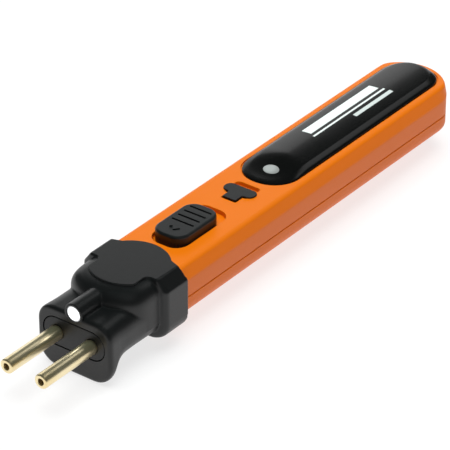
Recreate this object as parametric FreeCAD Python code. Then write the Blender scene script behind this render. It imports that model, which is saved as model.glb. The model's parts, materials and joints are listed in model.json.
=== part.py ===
import FreeCAD, Part
import math
import os

# Cordless two-pin hot stapler for plastic repair.
# Millimetres. +Z up (control side), pins point to -Y, origin under the middle at rest height.
# "station" is the distance from the pin tips towards the rear end.

Vec = FreeCAD.Vector

LENGTH = 227.6            # pin tips to rear end
PIN_PITCH = 14.2
PIN_DIA = 5.2
PIN_HOLE_DIA = 2.3
PIN_HOLE_DEPTH = 9.0
PIN_SHOULDER = 24.8       # station where the bare pin steps down into the carrier
PIN_ROOT_DIA = 4.6
PIN_STUD_DIA = 3.0
PIN_Z = 13.5

NOSE_START = 25.0         # station of the nose face
NOSE_HALF = 15.2
NOSE_TOP = 22.5
NOSE_BOTTOM = 7.0
FOOT_END = 33.0           # station where the front foot blends into the nose
COLLAR_START = 51.0
COLLAR_END = 62.5
COLLAR_HALF = 17.5
COLLAR_TOP_HALF = 14.0
COLLAR_TOP = 28.35
DISC_STATION = 54.0
DISC_R = 13.7
DISC_UNDERSIDE = 26.65
DISC_NECK_HALF = 9.7      # the disc narrows to this before it meets the collar
SKIRT_R = 19.6
SKIRT_TOP = 27.5
SKIRT_LOW = 22.0

CARRIER_HALF_X = 12.6
CARRIER_LOW = 8.6
CARRIER_HIGH = 19.1
CARRIER_END = 37.0
GAP = 0.12                # seam between fixed mouldings

LAMP_Z = 23.1
LAMP_TUBE_R = 3.75
LAMP_R = 2.5

CASE_START = 54.2         # the case halves begin inside the collar
CASE_HALF = 15.3
CASE_TOP = 26.6
CASE_BOTTOM = 6.0
CASE_TOP_HALF = 13.6
SHOULDER_Z = 21.9
SHOULDER_FLARE = 0.4      # how far the shoulder stands out beyond the seam
PARTING_Z = 15.0
WALL = 2.0
REAR_ROUND_R = 16.7
SCREW_X = 8.0

SLOT_FRONT = 71.2
SLOT_REAR = 100.1
SLOT_HALF = 7.0
SLOT_FLOOR = 24.9
POWER_TRAVEL = 4.5
POWER_TOP = 29.8

LOCK_FRONT = 107.5        # front end of the T-shaped button's stem
LOCK_SHOULDER = 111.5
LOCK_REAR = 116.5
LOCK_HALF = 6.4
LOCK_STEM_HALF = 2.8
LOCK_TOP = 27.1
LOCK_WING_UNDERSIDE = 26.68
LOCK_RECESS_HALF = 4.9
LOCK_TRAVEL = 2.6
LOCK_RECESS_REAR = 119.4
LOCK_FLOOR = 25.1

COVER_FRONT = 122.4
COVER_SLOPE_REAR = 138.0   # the cover falls off towards its front from here
COVER_FRONT_Z = 27.1
COVER_REAR = 224.4
COVER_HALF = 10.8
COVER_TOP = 29.2
WINDOW_STATION = 131.4

BOARD_Z = 16.5
BOARD_THICK = 1.6
BOARD_FRONT = 66.0
BOARD_REAR = 141.0
CELL_R = 9.2
CELL_LENGTH = 65.0
CELL_START = 149.5
CELL_Z = 17.1
WIRE_R = 0.5
WIRE_X = 10.6
WIRE_Z = 11.0


def at(station):
    """Y coordinate of a station."""
    return station - LENGTH / 2.0


def box(x0, x1, s0, s1, z0, z1):
    """Box between two corners, stations along Y."""
    return Part.makeBox(x1 - x0, s1 - s0, z1 - z0, Vec(x0, at(s0), z0))


def rod(x, z, radius, s0, s1):
    """Cylinder along Y."""
    return Part.makeCylinder(radius, s1 - s0, Vec(x, at(s0), z), Vec(0, 1, 0))


def post(x, s, radius, z0, z1):
    """Cylinder along Z."""
    return Part.makeCylinder(radius, z1 - z0, Vec(x, at(s), z0), Vec(0, 0, 1))


def rounded_wire(corners):
    """Closed wire through (Vector, radius) corners, arcs at the corners that have a radius."""
    edges = []
    ends = []
    count = len(corners)
    for index in range(count):
        point, radius = corners[index]
        before = (corners[index - 1][0] - point).normalize()
        after = (corners[(index + 1) % count][0] - point).normalize()
        if radius <= 0:
            ends.append((point, point))
            continue
        half = before.getAngle(after) / 2.0
        reach = radius / math.tan(half)
        centre = point + (before + after).normalize() * (radius / math.sin(half))
        first = point + before * reach
        last = point + after * reach
        middle = centre + (point - centre).normalize() * radius
        ends.append((first, last))
        edges.append(Part.Arc(first, middle, last).toShape())
    for index in range(count):
        start = ends[index - 1][1]
        stop = ends[index][0]
        if (stop - start).Length > 1e-6:
            edges.append(Part.makeLine(start, stop))
    return Part.Wire(Part.__sortEdges__(edges))


def across(profile, s0, s1):
    """Solid with a right-half profile of (x, z, radius) mirrored about x = 0, run along Y."""
    right = [(Vec(x, at(s0), z), r) for x, z, r in profile]
    left = [(Vec(-x, at(s0), z), r) for x, z, r in reversed(profile)]
    face = Part.Face(rounded_wire(right + left))
    return face.extrude(Vec(0, s1 - s0, 0))


def plan(corners, z0, z1):
    """Solid with a plan outline of (x, station, radius), run along Z."""
    points = [(Vec(x, at(s), z0), r) for x, s, r in corners]
    return Part.Face(rounded_wire(points)).extrude(Vec(0, 0, z1 - z0))


def pad(half, s0, s1, radius, z0, z1):
    """Rounded rectangle about x = 0, run along Z."""
    corners = [(-half, s0, radius), (half, s0, radius), (half, s1, radius), (-half, s1, radius)]
    return plan(corners, z0, z1)


def rear_limit(inset, z0, z1):
    """Plan shape of the case, round at its rear end, set in from the outside by inset."""
    half = CASE_HALF + 3.0
    radius = REAR_ROUND_R - inset
    middle = LENGTH - REAR_ROUND_R
    front = box(-half, half, CASE_START, middle, z0, z1)
    return front.fuse(post(0, middle, radius, z0, z1))


def upper_profile(inset):
    """Half section of the upper case."""
    return [
        (CASE_HALF + 0.1 - inset, PARTING_Z + 0.03, 0),
        (CASE_HALF + 0.1 + SHOULDER_FLARE - inset, SHOULDER_Z - 0.4 * inset, 2.0),
        (CASE_TOP_HALF - 0.9 * inset, CASE_TOP - inset, 2.0 if inset == 0 else 1.3),
    ]


def case_screw_places():
    """Plan positions of the case screws."""
    places = [(0.0, 145.0)]
    for station, x in ((68.0, SCREW_X), (219.5, 8.0)):
        places.append((x, station))
        places.append((-x, station))
    return places


def board_screw_places():
    """Plan positions of the circuit board screws."""
    places = []
    for station in (74.0, 137.5):
        places.append((9.2, station))
        places.append((-9.2, station))
    return places


def upper_case():
    outer = across(upper_profile(0), CASE_START, LENGTH + 1)
    outer = outer.common(rear_limit(0, CASE_BOTTOM, CASE_TOP + 1))
    hollow = across(upper_profile(WALL), CASE_START - 1, LENGTH)
    hollow = hollow.fuse(box(-CASE_HALF + WALL, CASE_HALF - WALL, CASE_START - 1, LENGTH, 14, PARTING_Z + 1))
    hollow = hollow.common(rear_limit(WALL, CASE_BOTTOM, CASE_TOP).fuse(
        box(-CASE_HALF, CASE_HALF, CASE_START - 1, CASE_START + 1, CASE_BOTTOM, CASE_TOP)))
    body = outer.cut(hollow)
    trays = [
        box(-9.0, 9.0, SLOT_FRONT - 2, SLOT_REAR + 2, SLOT_FLOOR - 1.4, CASE_TOP - 1),
        box(-9.0, 9.0, LOCK_FRONT - 2, LOCK_RECESS_REAR + 2, LOCK_FLOOR - 1.4, CASE_TOP - 1),
    ]
    bosses = []
    for x, s in case_screw_places():
        bosses.append(post(x, s, 2.6, PARTING_Z + 0.1, CASE_TOP - 1))
    for x, s in board_screw_places():
        bosses.append(post(x, s, 2.0, BOARD_Z + BOARD_THICK + 0.03, CASE_TOP - 1))
    body = body.fuse(trays + bosses)
    slot = pad(SLOT_HALF, SLOT_FRONT, SLOT_REAR, 5.0, SLOT_FLOOR, CASE_TOP + 1)
    stem_slot = pad(2.2, 79.7, 92.5, 1.0, SLOT_FLOOR - 3, SLOT_FLOOR + 1)
    recess = pad(LOCK_RECESS_HALF, LOCK_SHOULDER - 0.3, LOCK_RECESS_REAR, 1.4, LOCK_FLOOR, CASE_TOP + 1)
    stem = pad(LOCK_STEM_HALF + 0.3, LOCK_FRONT - 0.3, LOCK_SHOULDER + 3, 0.5, LOCK_FLOOR, CASE_TOP + 1)
    lock_slot = pad(1.8, 110.2, 116.9, 0.8, LOCK_FLOOR - 3, LOCK_FLOOR + 1)
    guide_bay = pad(6.4, 128.0, 137.0, 2.0, CASE_TOP - WALL - 2, CASE_TOP + 1)
    cell_bay = pad(6.4, 148.6, 217.0, 3.0, CASE_TOP - WALL - 2, CASE_TOP + 1)
    cuts = [slot, stem_slot, recess, stem, lock_slot, guide_bay, cell_bay]
    for x, s in case_screw_places():
        cuts.append(post(x, s, 1.12, PARTING_Z - 1, PARTING_Z + 5.2))
    for x, s in board_screw_places():
        cuts.append(post(x, s, 0.92, BOARD_Z, BOARD_Z + 6.2))
    for part in cuts:
        body = body.cut(part)
    for side in (-1, 1):
        body = body.cut(pad(0.8, 160, 172, 0.7, 20, 30).translated(Vec(side * 8.6, 0, 0)))
        body = body.cut(pad(0.8, 198, 210, 0.7, 20, 30).translated(Vec(side * 8.6, 0, 0)))
    for side in (-1, 1):
        body = body.fuse(box(min(side * 15.0, side * 15.7), max(side * 15.0, side * 15.7), 56.0, 57.5, 16.0, 19.5))
    return body.cut(usb_opening())


def usb_opening():
    """Opening for the charging socket in the rear wall."""
    return box(-4.7, 4.7, 222.0, LENGTH + 1, 12.75, 16.35)


def rear_bilge():
    """Side view of the lower case, rounded at its lower rear corner."""
    corners = [(CASE_START - 1, CASE_BOTTOM - 1, 0), (CASE_START - 1, CASE_TOP, 0), (LENGTH, CASE_TOP, 0),
               (LENGTH, CASE_BOTTOM, 5.5), (CASE_START + 5, CASE_BOTTOM, 0), (CASE_START + 5, CASE_BOTTOM - 1, 0)]
    wire = rounded_wire([(Vec(-CASE_HALF - 1, at(s), z), r) for s, z, r in corners])
    return Part.Face(wire).extrude(Vec(2 * CASE_HALF + 2, 0, 0))


def lower_case():
    depth = PARTING_Z - 0.03
    outer = across([(CASE_HALF, CASE_BOTTOM, 7.0), (CASE_HALF + 0.1, depth, 0)], CASE_START, LENGTH + 1)
    outer = outer.common(rear_limit(0, CASE_BOTTOM, CASE_TOP)).common(rear_bilge())
    hollow = across([(CASE_HALF - WALL, CASE_BOTTOM + 1.7, 5.3), (CASE_HALF - WALL, depth + 1, 0)],
                    CASE_START - 1, LENGTH)
    hollow = hollow.common(rear_limit(WALL, CASE_BOTTOM, CASE_TOP).fuse(
        box(-CASE_HALF, CASE_HALF, CASE_START - 1, CASE_START + 1, CASE_BOTTOM, CASE_TOP)))
    hollow = hollow.common(rear_bilge().translated(Vec(0, -WALL, 1.7)))
    body = outer.cut(hollow)
    adds = []
    for x, s in case_screw_places():
        adds.append(post(x, s, 2.9, CASE_BOTTOM + 1, depth).common(outer))
    for s in (153.0, 182.0, 211.0):
        rib = box(-CASE_HALF + 1, CASE_HALF - 1, s, s + 1.6, CASE_BOTTOM + 4.5, depth - 0.6)
        rib = rib.fuse(box(-9.0, 9.0, s, s + 1.6, CASE_BOTTOM + 1, CASE_BOTTOM + 5))
        rib = rib.common(outer)
        rib = rib.cut(rod(0, CELL_Z, CELL_R + 0.1, s - 1, s + 3))
        for side in (-1, 1):
            rib = rib.cut(box(side * WIRE_X - 0.8, side * WIRE_X + 0.8, s - 1, s + 3, WIRE_Z - 0.8, depth))
        adds.append(rib)
    body = body.fuse(adds)
    cuts = [usb_opening()]
    for x, s in case_screw_places():
        cuts.append(post(x, s, 2.5, CASE_BOTTOM - 1, CASE_BOTTOM + 3.6))
        cuts.append(post(x, s, 1.3, CASE_BOTTOM, depth + 1))
    for part in cuts:
        body = body.cut(part)
    return body


def nose_profile(inset):
    """Half section of the nose."""
    return [
        (NOSE_HALF - inset, NOSE_BOTTOM + inset, 6.0 - inset),
        (NOSE_HALF - inset, NOSE_TOP - inset, 6.0 - inset),
    ]


def collar_outer():
    """Outside of the collar, rear edge bowed back at the sides."""
    profile = [
        (COLLAR_HALF - 0.1, 5.2, 6.0),
        (COLLAR_HALF, COLLAR_TOP - 4.4, 0.8),
        (COLLAR_TOP_HALF, COLLAR_TOP, 0.4),
    ]
    solid = across(profile, COLLAR_START, COLLAR_END + 1.6)
    bow = Part.makeCylinder(100.0, 60, Vec(0, at(COLLAR_END - 1.4) + 100.0, -10))
    rounded_front = pad(COLLAR_HALF, COLLAR_START - 0.6, COLLAR_END + 5, 2.4, 0, COLLAR_TOP)
    return solid.cut(bow).common(rounded_front)


def skirt_ring(share, height):
    """Closed front-half outline between the disc (share 0) and the nose sides (share 1)."""
    points = []
    for step in range(37):
        angle = math.pi + math.pi * step / 36
        side = max(abs(math.cos(angle)), 1e-6)
        top = ((DISC_R + 0.2) ** -14.0 + (DISC_NECK_HALF / side) ** -14.0) ** (-1 / 14.0)
        low = (SKIRT_R ** -14.0 + (NOSE_HALF / side) ** -14.0) ** (-1 / 14.0)
        radius = top + (low - top) * share
        points.append(Vec(radius * math.cos(angle), at(DISC_STATION) + radius * math.sin(angle), height))
    return Part.makePolygon(points + [points[0]])


def skirt():
    """Bulging shoulder that runs from the disc down to the nose."""
    rings = [skirt_ring(1.0, 12.0)]
    for step in range(7):
        angle = math.radians(90.0 - 15.0 * step)
        rings.append(skirt_ring(math.sin(angle), SKIRT_LOW + (SKIRT_TOP - SKIRT_LOW) * math.cos(angle)))
    return Part.makeLoft(rings, True, True)


def disc():
    """Flat disc, narrowed by a neck in front of the collar, with its tongue over the case."""
    whole = post(0, DISC_STATION, DISC_R, DISC_UNDERSIDE, COLLAR_TOP)
    front = box(-DISC_NECK_HALF, DISC_NECK_HALF, DISC_STATION - 20, COLLAR_START, 20, 30)
    rear = box(-20, 20, COLLAR_START, DISC_STATION + 20, 20, 30)
    return whole.common(front.fuse(rear))


def foot():
    """Deep front flange of the nose."""
    side = [
        (NOSE_START, 0.0), (27.6, 0.0), (28.6, 1.0), (29.6, 3.2),
        (31.2, 5.6), (34.5, 7.2), (34.5, 14.0), (NOSE_START, 14.0),
    ]
    points = [Vec(-NOSE_HALF - 1, at(s), z) for s, z in side]
    slab = Part.Face(Part.makePolygon(points + [points[0]])).extrude(Vec(2 * NOSE_HALF + 2, 0, 0))
    front = across([(NOSE_HALF, 0.0, 7.5), (NOSE_HALF, NOSE_TOP, 6.0)], NOSE_START, 35.0)
    return slab.common(front)


def nose_housing():
    body = across(nose_profile(0), NOSE_START, COLLAR_START + 2)
    body = body.fuse([foot(), collar_outer(), skirt()])
    body = body.fuse(rod(0, LAMP_Z, LAMP_TUBE_R, NOSE_START, 42.0))
    body = body.fuse(disc())
    sleeve = across([(CASE_HALF + 0.12, CASE_BOTTOM - 0.1, 7.0), (CASE_HALF + 0.22 + SHOULDER_FLARE, SHOULDER_Z + 0.1, 2.0),
                     (CASE_TOP_HALF + 0.1, CASE_TOP + 0.05, 1.9)], CASE_START - 0.1, COLLAR_END + 8)
    cuts = [
        sleeve,
        across([(CARRIER_HALF_X, CARRIER_LOW + 0.1, 3.0), (CARRIER_HALF_X, CARRIER_HIGH + 0.1, 3.0)], 36.0, 55.0),
        stadium(GAP, NOSE_START - 1, 37.0),
        rod(0, LAMP_Z, LAMP_R + 0.05, NOSE_START - 1, 35.2),
        rod(0, LAMP_Z, 2.0, 35.0, 56.0),
    ]
    for side in (-1, 1):
        cuts.append(box(min(side * 15.0, side * 15.85), max(side * 15.0, side * 15.85), 55.8, 57.7, 15.8, 19.7))
    for part in cuts:
        body = body.cut(part)
    return body


def stadium(grow, s0, s1):
    """Outline of the pin carrier, run along Y."""
    half = CARRIER_HALF_X + grow
    low = CARRIER_LOW - grow
    high = CARRIER_HIGH + grow
    radius = (high - low) / 2.0 - 0.05
    return across([(half, low, radius), (half, high, radius)], s0, s1)


def pin_carrier():
    body = stadium(0, NOSE_START, CARRIER_END)
    for side in (-1, 1):
        body = body.cut(rod(side * PIN_PITCH / 2, PIN_Z, PIN_ROOT_DIA / 2 + 0.02, NOSE_START - 1, CARRIER_END + 1))
    return body


def contact_pin(side):
    x = side * PIN_PITCH / 2
    shank = rod(x, PIN_Z, PIN_DIA / 2, 0, PIN_SHOULDER)
    edges = [e for e in shank.Edges if abs(e.CenterOfMass.y - at(0)) < 0.01 and e.Length > PIN_DIA]
    shank = shank.makeFillet(0.5, edges)
    root = rod(x, PIN_Z, PIN_ROOT_DIA / 2, PIN_SHOULDER - 1, CARRIER_END + 0.6)
    stud = rod(x, PIN_Z, PIN_STUD_DIA / 2, CARRIER_END, 45.0)
    hole = rod(x, PIN_Z, PIN_HOLE_DIA / 2, -1, PIN_HOLE_DEPTH)
    return shank.fuse([root, stud]).cut(hole).removeSplitter()


def lead_nuts():
    nuts = []
    for side in (-1, 1):
        x = side * PIN_PITCH / 2
        points = []
        for step in range(7):
            angle = math.radians(60 * step)
            points.append(Vec(x + 3.17 * math.cos(angle), at(38.55), PIN_Z + 3.17 * math.sin(angle)))
        nut = Part.Face(Part.makePolygon(points)).extrude(Vec(0, 2.4, 0))
        nuts.append(nut.cut(rod(x, PIN_Z, PIN_STUD_DIA / 2 + 0.02, 37, 43)))
    return Part.makeCompound(nuts)


def contact_lead(side):
    x = side * PIN_PITCH / 2
    s0 = CARRIER_END + 0.65
    ring = rod(x, PIN_Z, 3.5, s0, s0 + 0.8)
    x0 = min(side * 1.8, side * 4.8)
    x1 = max(side * 1.8, side * 4.8)
    tab = box(x0, x1, s0, s0 + 0.8, 9.0, PIN_Z - 1.8)
    strip = box(x0, x1, s0, 72.5, 9.0, 9.8)
    riser = box(x0, x1, 71.7, 72.5, 9.0, BOARD_Z - 0.02)
    body = ring.fuse([tab, strip, riser])
    return body.cut(rod(x, PIN_Z, PIN_STUD_DIA / 2 + 0.02, s0 - 1, s0 + 2)).removeSplitter()


def torch_lamp():
    s0 = NOSE_START + 0.35
    body = rod(0, LAMP_Z, LAMP_R, s0 + 2.0, 34.0)
    dome = Part.makeSphere(LAMP_R, Vec(0, at(s0 + LAMP_R), LAMP_Z))
    front = dome.common(box(-3, 3, s0 - 1, s0 + LAMP_R, LAMP_Z - 3, LAMP_Z + 3))
    return body.fuse([rod(0, LAMP_Z, LAMP_R, s0 + LAMP_R - 0.01, 34.0), front]).removeSplitter()


def lamp_leads():
    legs = []
    for side in (-1, 1):
        x = side * 1.27
        run = box(x - 0.25, x + 0.25, 34.05, 70.0, LAMP_Z - 0.25, LAMP_Z + 0.25)
        drop = box(x - 0.25, x + 0.25, 69.5, 70.0, BOARD_Z + BOARD_THICK + 0.02, LAMP_Z + 0.25)
        legs.append(run.fuse(drop).removeSplitter())
    return Part.makeCompound(legs)


def cover_outline(inset):
    """Plan corners of the domed cover."""
    half = COVER_HALF - inset
    rear = COVER_REAR - inset
    return [
        (-half, COVER_FRONT + inset, half - 0.05), (half, COVER_FRONT + inset, half - 0.05),
        (half, rear - 5.0, 7.0), (half * 0.5, rear, 5.0), (-half * 0.5, rear, 5.0), (-half, rear - 5.0, 7.0),
    ]


def dome(inset, s0, s1):
    """Convex bar that shapes the cover, set in by inset."""
    sag = COVER_TOP - CASE_TOP - 0.9
    half = COVER_HALF
    radius = (half * half + sag * sag) / (2 * sag)
    corners = [(COVER_FRONT - 2, CASE_TOP - 5, 0), (240, CASE_TOP - 5, 0), (240, COVER_TOP - inset, 0),
               (COVER_SLOPE_REAR, COVER_TOP - inset, 12.0), (COVER_FRONT - 2, COVER_FRONT_Z - 0.3 - inset, 0)]
    wire = rounded_wire([(Vec(-half - 1, at(s), z), r) for s, z, r in corners])
    sloped = Part.Face(wire).extrude(Vec(2 * half + 2, 0, 0))
    return rod(0, COVER_TOP - radius, radius - inset, s0, s1).common(sloped)


def top_cover():
    outer = plan(cover_outline(0), CASE_TOP + 0.03, COVER_TOP + 1).common(dome(0, COVER_FRONT - 1, COVER_REAR + 1))
    rim = [e for e in outer.Edges if e.BoundBox.ZMin > CASE_TOP + 0.3]
    try:
        outer = outer.makeFillet(0.8, rim)
    except Part.OCCError:
        outer = outer.copy()
    inner = plan(cover_outline(1.5), CASE_TOP - 1, COVER_TOP + 1).common(dome(1.3, COVER_FRONT - 1, COVER_REAR + 1))
    body = outer.cut(inner)
    body = body.cut(window_shape(0.06, CASE_TOP - 2, COVER_TOP + 1))
    hooks = []
    for side in (-1, 1):
        for s0 in (160.6, 198.6):
            hook = pad(0.55, s0, s0 + 10.8, 0.4, CASE_TOP - 2.6, CASE_TOP + 1.0)
            hooks.append(hook.translated(Vec(side * 8.6, 0, 0)))
    return body.fuse(hooks)


def window_shape(grow, z0, z1):
    """Oval status window, run along Z."""
    oval = Part.Ellipse(Vec(0, 0, z0), 3.5 + grow, 2.6 + grow)
    face = Part.Face(Part.Wire(oval.toShape()))
    solid = face.extrude(Vec(0, 0, z1 - z0))
    return solid.translated(Vec(0, at(WINDOW_STATION), 0))


def status_window():
    body = window_shape(0, CASE_TOP - 1.0, COVER_TOP + 1)
    return body.common(dome(-0.04, COVER_FRONT, 140.0))


def power_slide_button():
    body = pad(6.6, 72.6, 95.3, 4.8, SLOT_FLOOR + 0.25, POWER_TOP)
    rim = [e for e in body.Edges if e.BoundBox.ZMin > POWER_TOP - 0.01]
    body = body.makeFillet(0.8, rim)
    stem = box(-1.9, 1.9, 80.0, 87.6, 21.6, SLOT_FLOOR + 0.5)
    body = body.fuse(stem)
    for station in (82.3, 85.5, 88.8, 92.0):
        body = body.cut(pad(4.4, station - 0.4, station + 0.4, 0.35, POWER_TOP - 0.6, POWER_TOP + 1))
    arrow = [(0, 75.2, 0), (2.3, 78.0, 0), (1.5, 78.6, 0), (0, 76.8, 0), (-1.5, 78.6, 0), (-2.3, 78.0, 0)]
    body = body.cut(plan(arrow, POWER_TOP - 0.4, POWER_TOP + 1))
    return body.cut(box(-1.3, 1.3, 82.4, 85.6, 21.0, 24.1))


def power_switch_lever():
    return box(-1.2, 1.2, 82.5, 85.5, 19.7, 24.0)


def power_switch_body():
    low = BOARD_Z + BOARD_THICK + 0.02
    body = box(-4.0, 4.0, 77.5, 95.0, low, 21.3)
    return body.cut(box(-1.5, 1.5, 82.2, 90.3, 19.4, 22.0))


def lock_slide_button():
    bar = pad(LOCK_HALF, LOCK_SHOULDER, LOCK_REAR, 2.4, LOCK_WING_UNDERSIDE, LOCK_TOP)
    core = pad(LOCK_RECESS_HALF - 0.3, LOCK_SHOULDER, LOCK_REAR, 1.0, LOCK_FLOOR + 0.2, LOCK_TOP)
    stem = pad(LOCK_STEM_HALF, LOCK_FRONT, LOCK_SHOULDER + 2, 0.4, LOCK_FLOOR + 0.2, LOCK_TOP)
    tongue = box(-1.5, 1.5, 110.5, 114.0, 21.6, LOCK_FLOOR + 0.5)
    body = bar.fuse([core, stem, tongue]).removeSplitter()
    rim = [e for e in body.Edges if e.BoundBox.ZMin > LOCK_TOP - 0.01]
    try:
        body = body.makeFillet(0.2, rim)
    except Part.OCCError:
        body = body.copy()
    return body.cut(box(-0.9, 0.9, 111.3, 113.3, 21.0, 23.8))


def lock_switch_lever():
    return box(-0.8, 0.8, 111.4, 113.2, 19.7, 23.7)


def lock_switch_body():
    low = BOARD_Z + BOARD_THICK + 0.02
    body = box(-3.2, 3.2, 107.0, 120.0, low, 21.3)
    return body.cut(box(-1.1, 1.1, 111.1, 116.1, 19.4, 22.0))


def circuit_board():
    body = box(-12.0, 12.0, BOARD_FRONT, BOARD_REAR, BOARD_Z, BOARD_Z + BOARD_THICK)
    for x, s in board_screw_places():
        body = body.cut(post(x, s, 1.1, BOARD_Z - 1, BOARD_Z + 3))
    for x, s in case_screw_places():
        body = body.cut(post(x, s, 3.2, BOARD_Z - 1, BOARD_Z + 3))
    return body


def power_transistors():
    group = []
    for side in (-1, 1):
        group.append(box(side * 5.5 - 3.3, side * 5.5 + 3.3, 80.0, 86.2, BOARD_Z - 2.3, BOARD_Z - 0.02))
    return Part.makeCompound(group)


def control_chip():
    return box(-2.5, 2.5, 97.0, 102.0, BOARD_Z - 1.6, BOARD_Z - 0.02)


def storage_capacitors():
    group = []
    for side in (-1, 1):
        group.append(rod(side * 5.4, BOARD_Z - 3.2, 3.1, 106.0, 117.0))
    return Part.makeCompound(group)


def status_led():
    low = BOARD_Z + BOARD_THICK + 0.02
    return box(-1.6, 1.6, WINDOW_STATION - 1.4, WINDOW_STATION + 1.4, low, low + 1.9)


def light_guide():
    low = BOARD_Z + BOARD_THICK + 2.0
    return post(0, WINDOW_STATION, 2.2, low, CASE_TOP - 1.05)


def battery_cell():
    body = rod(0, CELL_Z, CELL_R, CELL_START, CELL_START + CELL_LENGTH - 1.0)
    return body.fuse(rod(0, CELL_Z, 2.8, CELL_START + CELL_LENGTH - 1.1, CELL_START + CELL_LENGTH))


def battery_tab_front():
    plate = box(-3.0, 7.0, CELL_START - 0.25, CELL_START - 0.05, 14.0, 19.0)
    strip = box(4.0, 7.0, BOARD_REAR - 3.0, CELL_START - 0.1, BOARD_Z - 0.32, BOARD_Z - 0.12)
    return plate.fuse(strip).removeSplitter()


def battery_tab_rear():
    end = CELL_START + CELL_LENGTH
    return box(-3.0, 4.0, end + 0.05, end + 0.25, 13.6, 20.0)


def battery_return_lead():
    end = CELL_START + CELL_LENGTH + 0.8
    x = WIRE_X + 0.6
    z = BOARD_Z + BOARD_THICK + 0.7
    cross = Part.makeCylinder(WIRE_R, x - 2.5, Vec(2.5, at(end), z), Vec(1, 0, 0))
    run = rod(x, z, WIRE_R, BOARD_REAR - 2.0, end)
    corner = Part.makeSphere(WIRE_R, Vec(x, at(end), z))
    drop = post(x, BOARD_REAR - 2.0, WIRE_R, BOARD_Z + BOARD_THICK + 0.02, z)
    return run.fuse([cross, corner, drop]).removeSplitter()


def battery_pad():
    low = CELL_Z + CELL_R + 0.05
    return box(-2.6, 2.6, 158.0, 206.0, low, COVER_TOP - 1.6)


def charge_board():
    return box(-5.0, 5.0, 216.2, 224.4, 11.6, 12.8)


def charging_socket():
    shell = pad(4.47, 218.6, LENGTH - 1.6, 0.01, 12.85, 16.1)
    mouth = across([(3.9, 13.4, 0.9), (3.9, 15.55, 0.9)], 221.0, LENGTH)
    tongue = box(-3.3, 3.3, 220.5, LENGTH - 2.4, 14.15, 14.8)
    return shell.cut(mouth).fuse(tongue).removeSplitter()


def charge_leads():
    wires = []
    turn = CELL_START + CELL_LENGTH + 1.1
    front = BOARD_REAR - 0.8
    for side in (-1, 1):
        x = side * WIRE_X
        rise = post(x, front, WIRE_R, WIRE_Z, BOARD_Z - 0.02)
        run = rod(x, WIRE_Z, WIRE_R, front, turn)
        inward = Part.makeCylinder(WIRE_R, WIRE_X - 4.2, Vec(x, at(turn), WIRE_Z), Vec(-side, 0, 0))
        tail = rod(side * 4.2, WIRE_Z, WIRE_R, turn, turn + 2.0)
        balls = [Part.makeSphere(WIRE_R, Vec(x, at(front), WIRE_Z)),
                 Part.makeSphere(WIRE_R, Vec(x, at(turn), WIRE_Z)),
                 Part.makeSphere(WIRE_R, Vec(side * 4.2, at(turn), WIRE_Z))]
        wires.append(run.fuse([rise, inward, tail] + balls).removeSplitter())
    return Part.makeCompound(wires)


def case_screws():
    screws = []
    for x, s in case_screw_places():
        head = post(x, s, 2.2, CASE_BOTTOM + 1.9, CASE_BOTTOM + 3.58)
        shank = post(x, s, 1.1, CASE_BOTTOM + 3.5, PARTING_Z + 5.0)
        drive = box(x - 1.4, x + 1.4, s - 0.3, s + 0.3, CASE_BOTTOM + 1.5, CASE_BOTTOM + 2.7)
        cross = box(x - 0.3, x + 0.3, s - 1.4, s + 1.4, CASE_BOTTOM + 1.5, CASE_BOTTOM + 2.7)
        screws.append(head.fuse(shank).cut(drive).cut(cross))
    return Part.makeCompound(screws)


def board_screws():
    screws = []
    for x, s in board_screw_places():
        head = post(x, s, 1.8, BOARD_Z - 1.3, BOARD_Z - 0.02)
        shank = post(x, s, 0.9, BOARD_Z - 0.1, BOARD_Z + 6.0)
        screws.append(head.fuse(shank))
    return Part.makeCompound(screws)


NODES = {
    "upper_case": upper_case,
    "lower_case": lower_case,
    "nose_housing": nose_housing,
    "pin_carrier": pin_carrier,
    "contact_pin_left": lambda: contact_pin(-1),
    "contact_pin_right": lambda: contact_pin(1),
    "lead_nuts": lead_nuts,
    "contact_lead_left": lambda: contact_lead(-1),
    "contact_lead_right": lambda: contact_lead(1),
    "torch_lamp": torch_lamp,
    "lamp_leads": lamp_leads,
    "top_cover": top_cover,
    "status_window": status_window,
    "light_guide": light_guide,
    "status_led": status_led,
    "power_slide_button": power_slide_button,
    "power_switch_lever": power_switch_lever,
    "power_switch_body": power_switch_body,
    "lock_slide_button": lock_slide_button,
    "lock_switch_lever": lock_switch_lever,
    "lock_switch_body": lock_switch_body,
    "circuit_board": circuit_board,
    "power_transistors": power_transistors,
    "control_chip": control_chip,
    "storage_capacitors": storage_capacitors,
    "battery_cell": battery_cell,
    "battery_tab_front": battery_tab_front,
    "battery_tab_rear": battery_tab_rear,
    "battery_return_lead": battery_return_lead,
    "battery_pad": battery_pad,
    "charge_board": charge_board,
    "charging_socket": charging_socket,
    "charge_leads": charge_leads,
    "case_screws": case_screws,
    "board_screws": board_screws,
}

os.makedirs("parts", exist_ok=True)
for name, make in NODES.items():
    shape = make()
    shape.exportStep(os.path.join("parts", name + ".step"))
    bounds = shape.BoundBox
    print(name, len(shape.Solids), shape.isValid(), round(shape.Volume, 1),
          [round(v, 2) for v in (bounds.XMin, bounds.XMax, bounds.YMin, bounds.YMax, bounds.ZMin, bounds.ZMax)])
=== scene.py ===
"""Looks of a cordless two-pin hot stapler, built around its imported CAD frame.

Meshes are shaped in millimetres in the CAD frame (+Z up, pins towards -Y) and settled
into metres at the end, so every finished piece sits at the origin.
"""

from __future__ import annotations

import json
import logging
import math
from dataclasses import dataclass
from enum import Enum
from typing import Callable, Iterable, Optional, Sequence, Union

import bmesh
import bpy
from mathutils import Matrix, Vector

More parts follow.
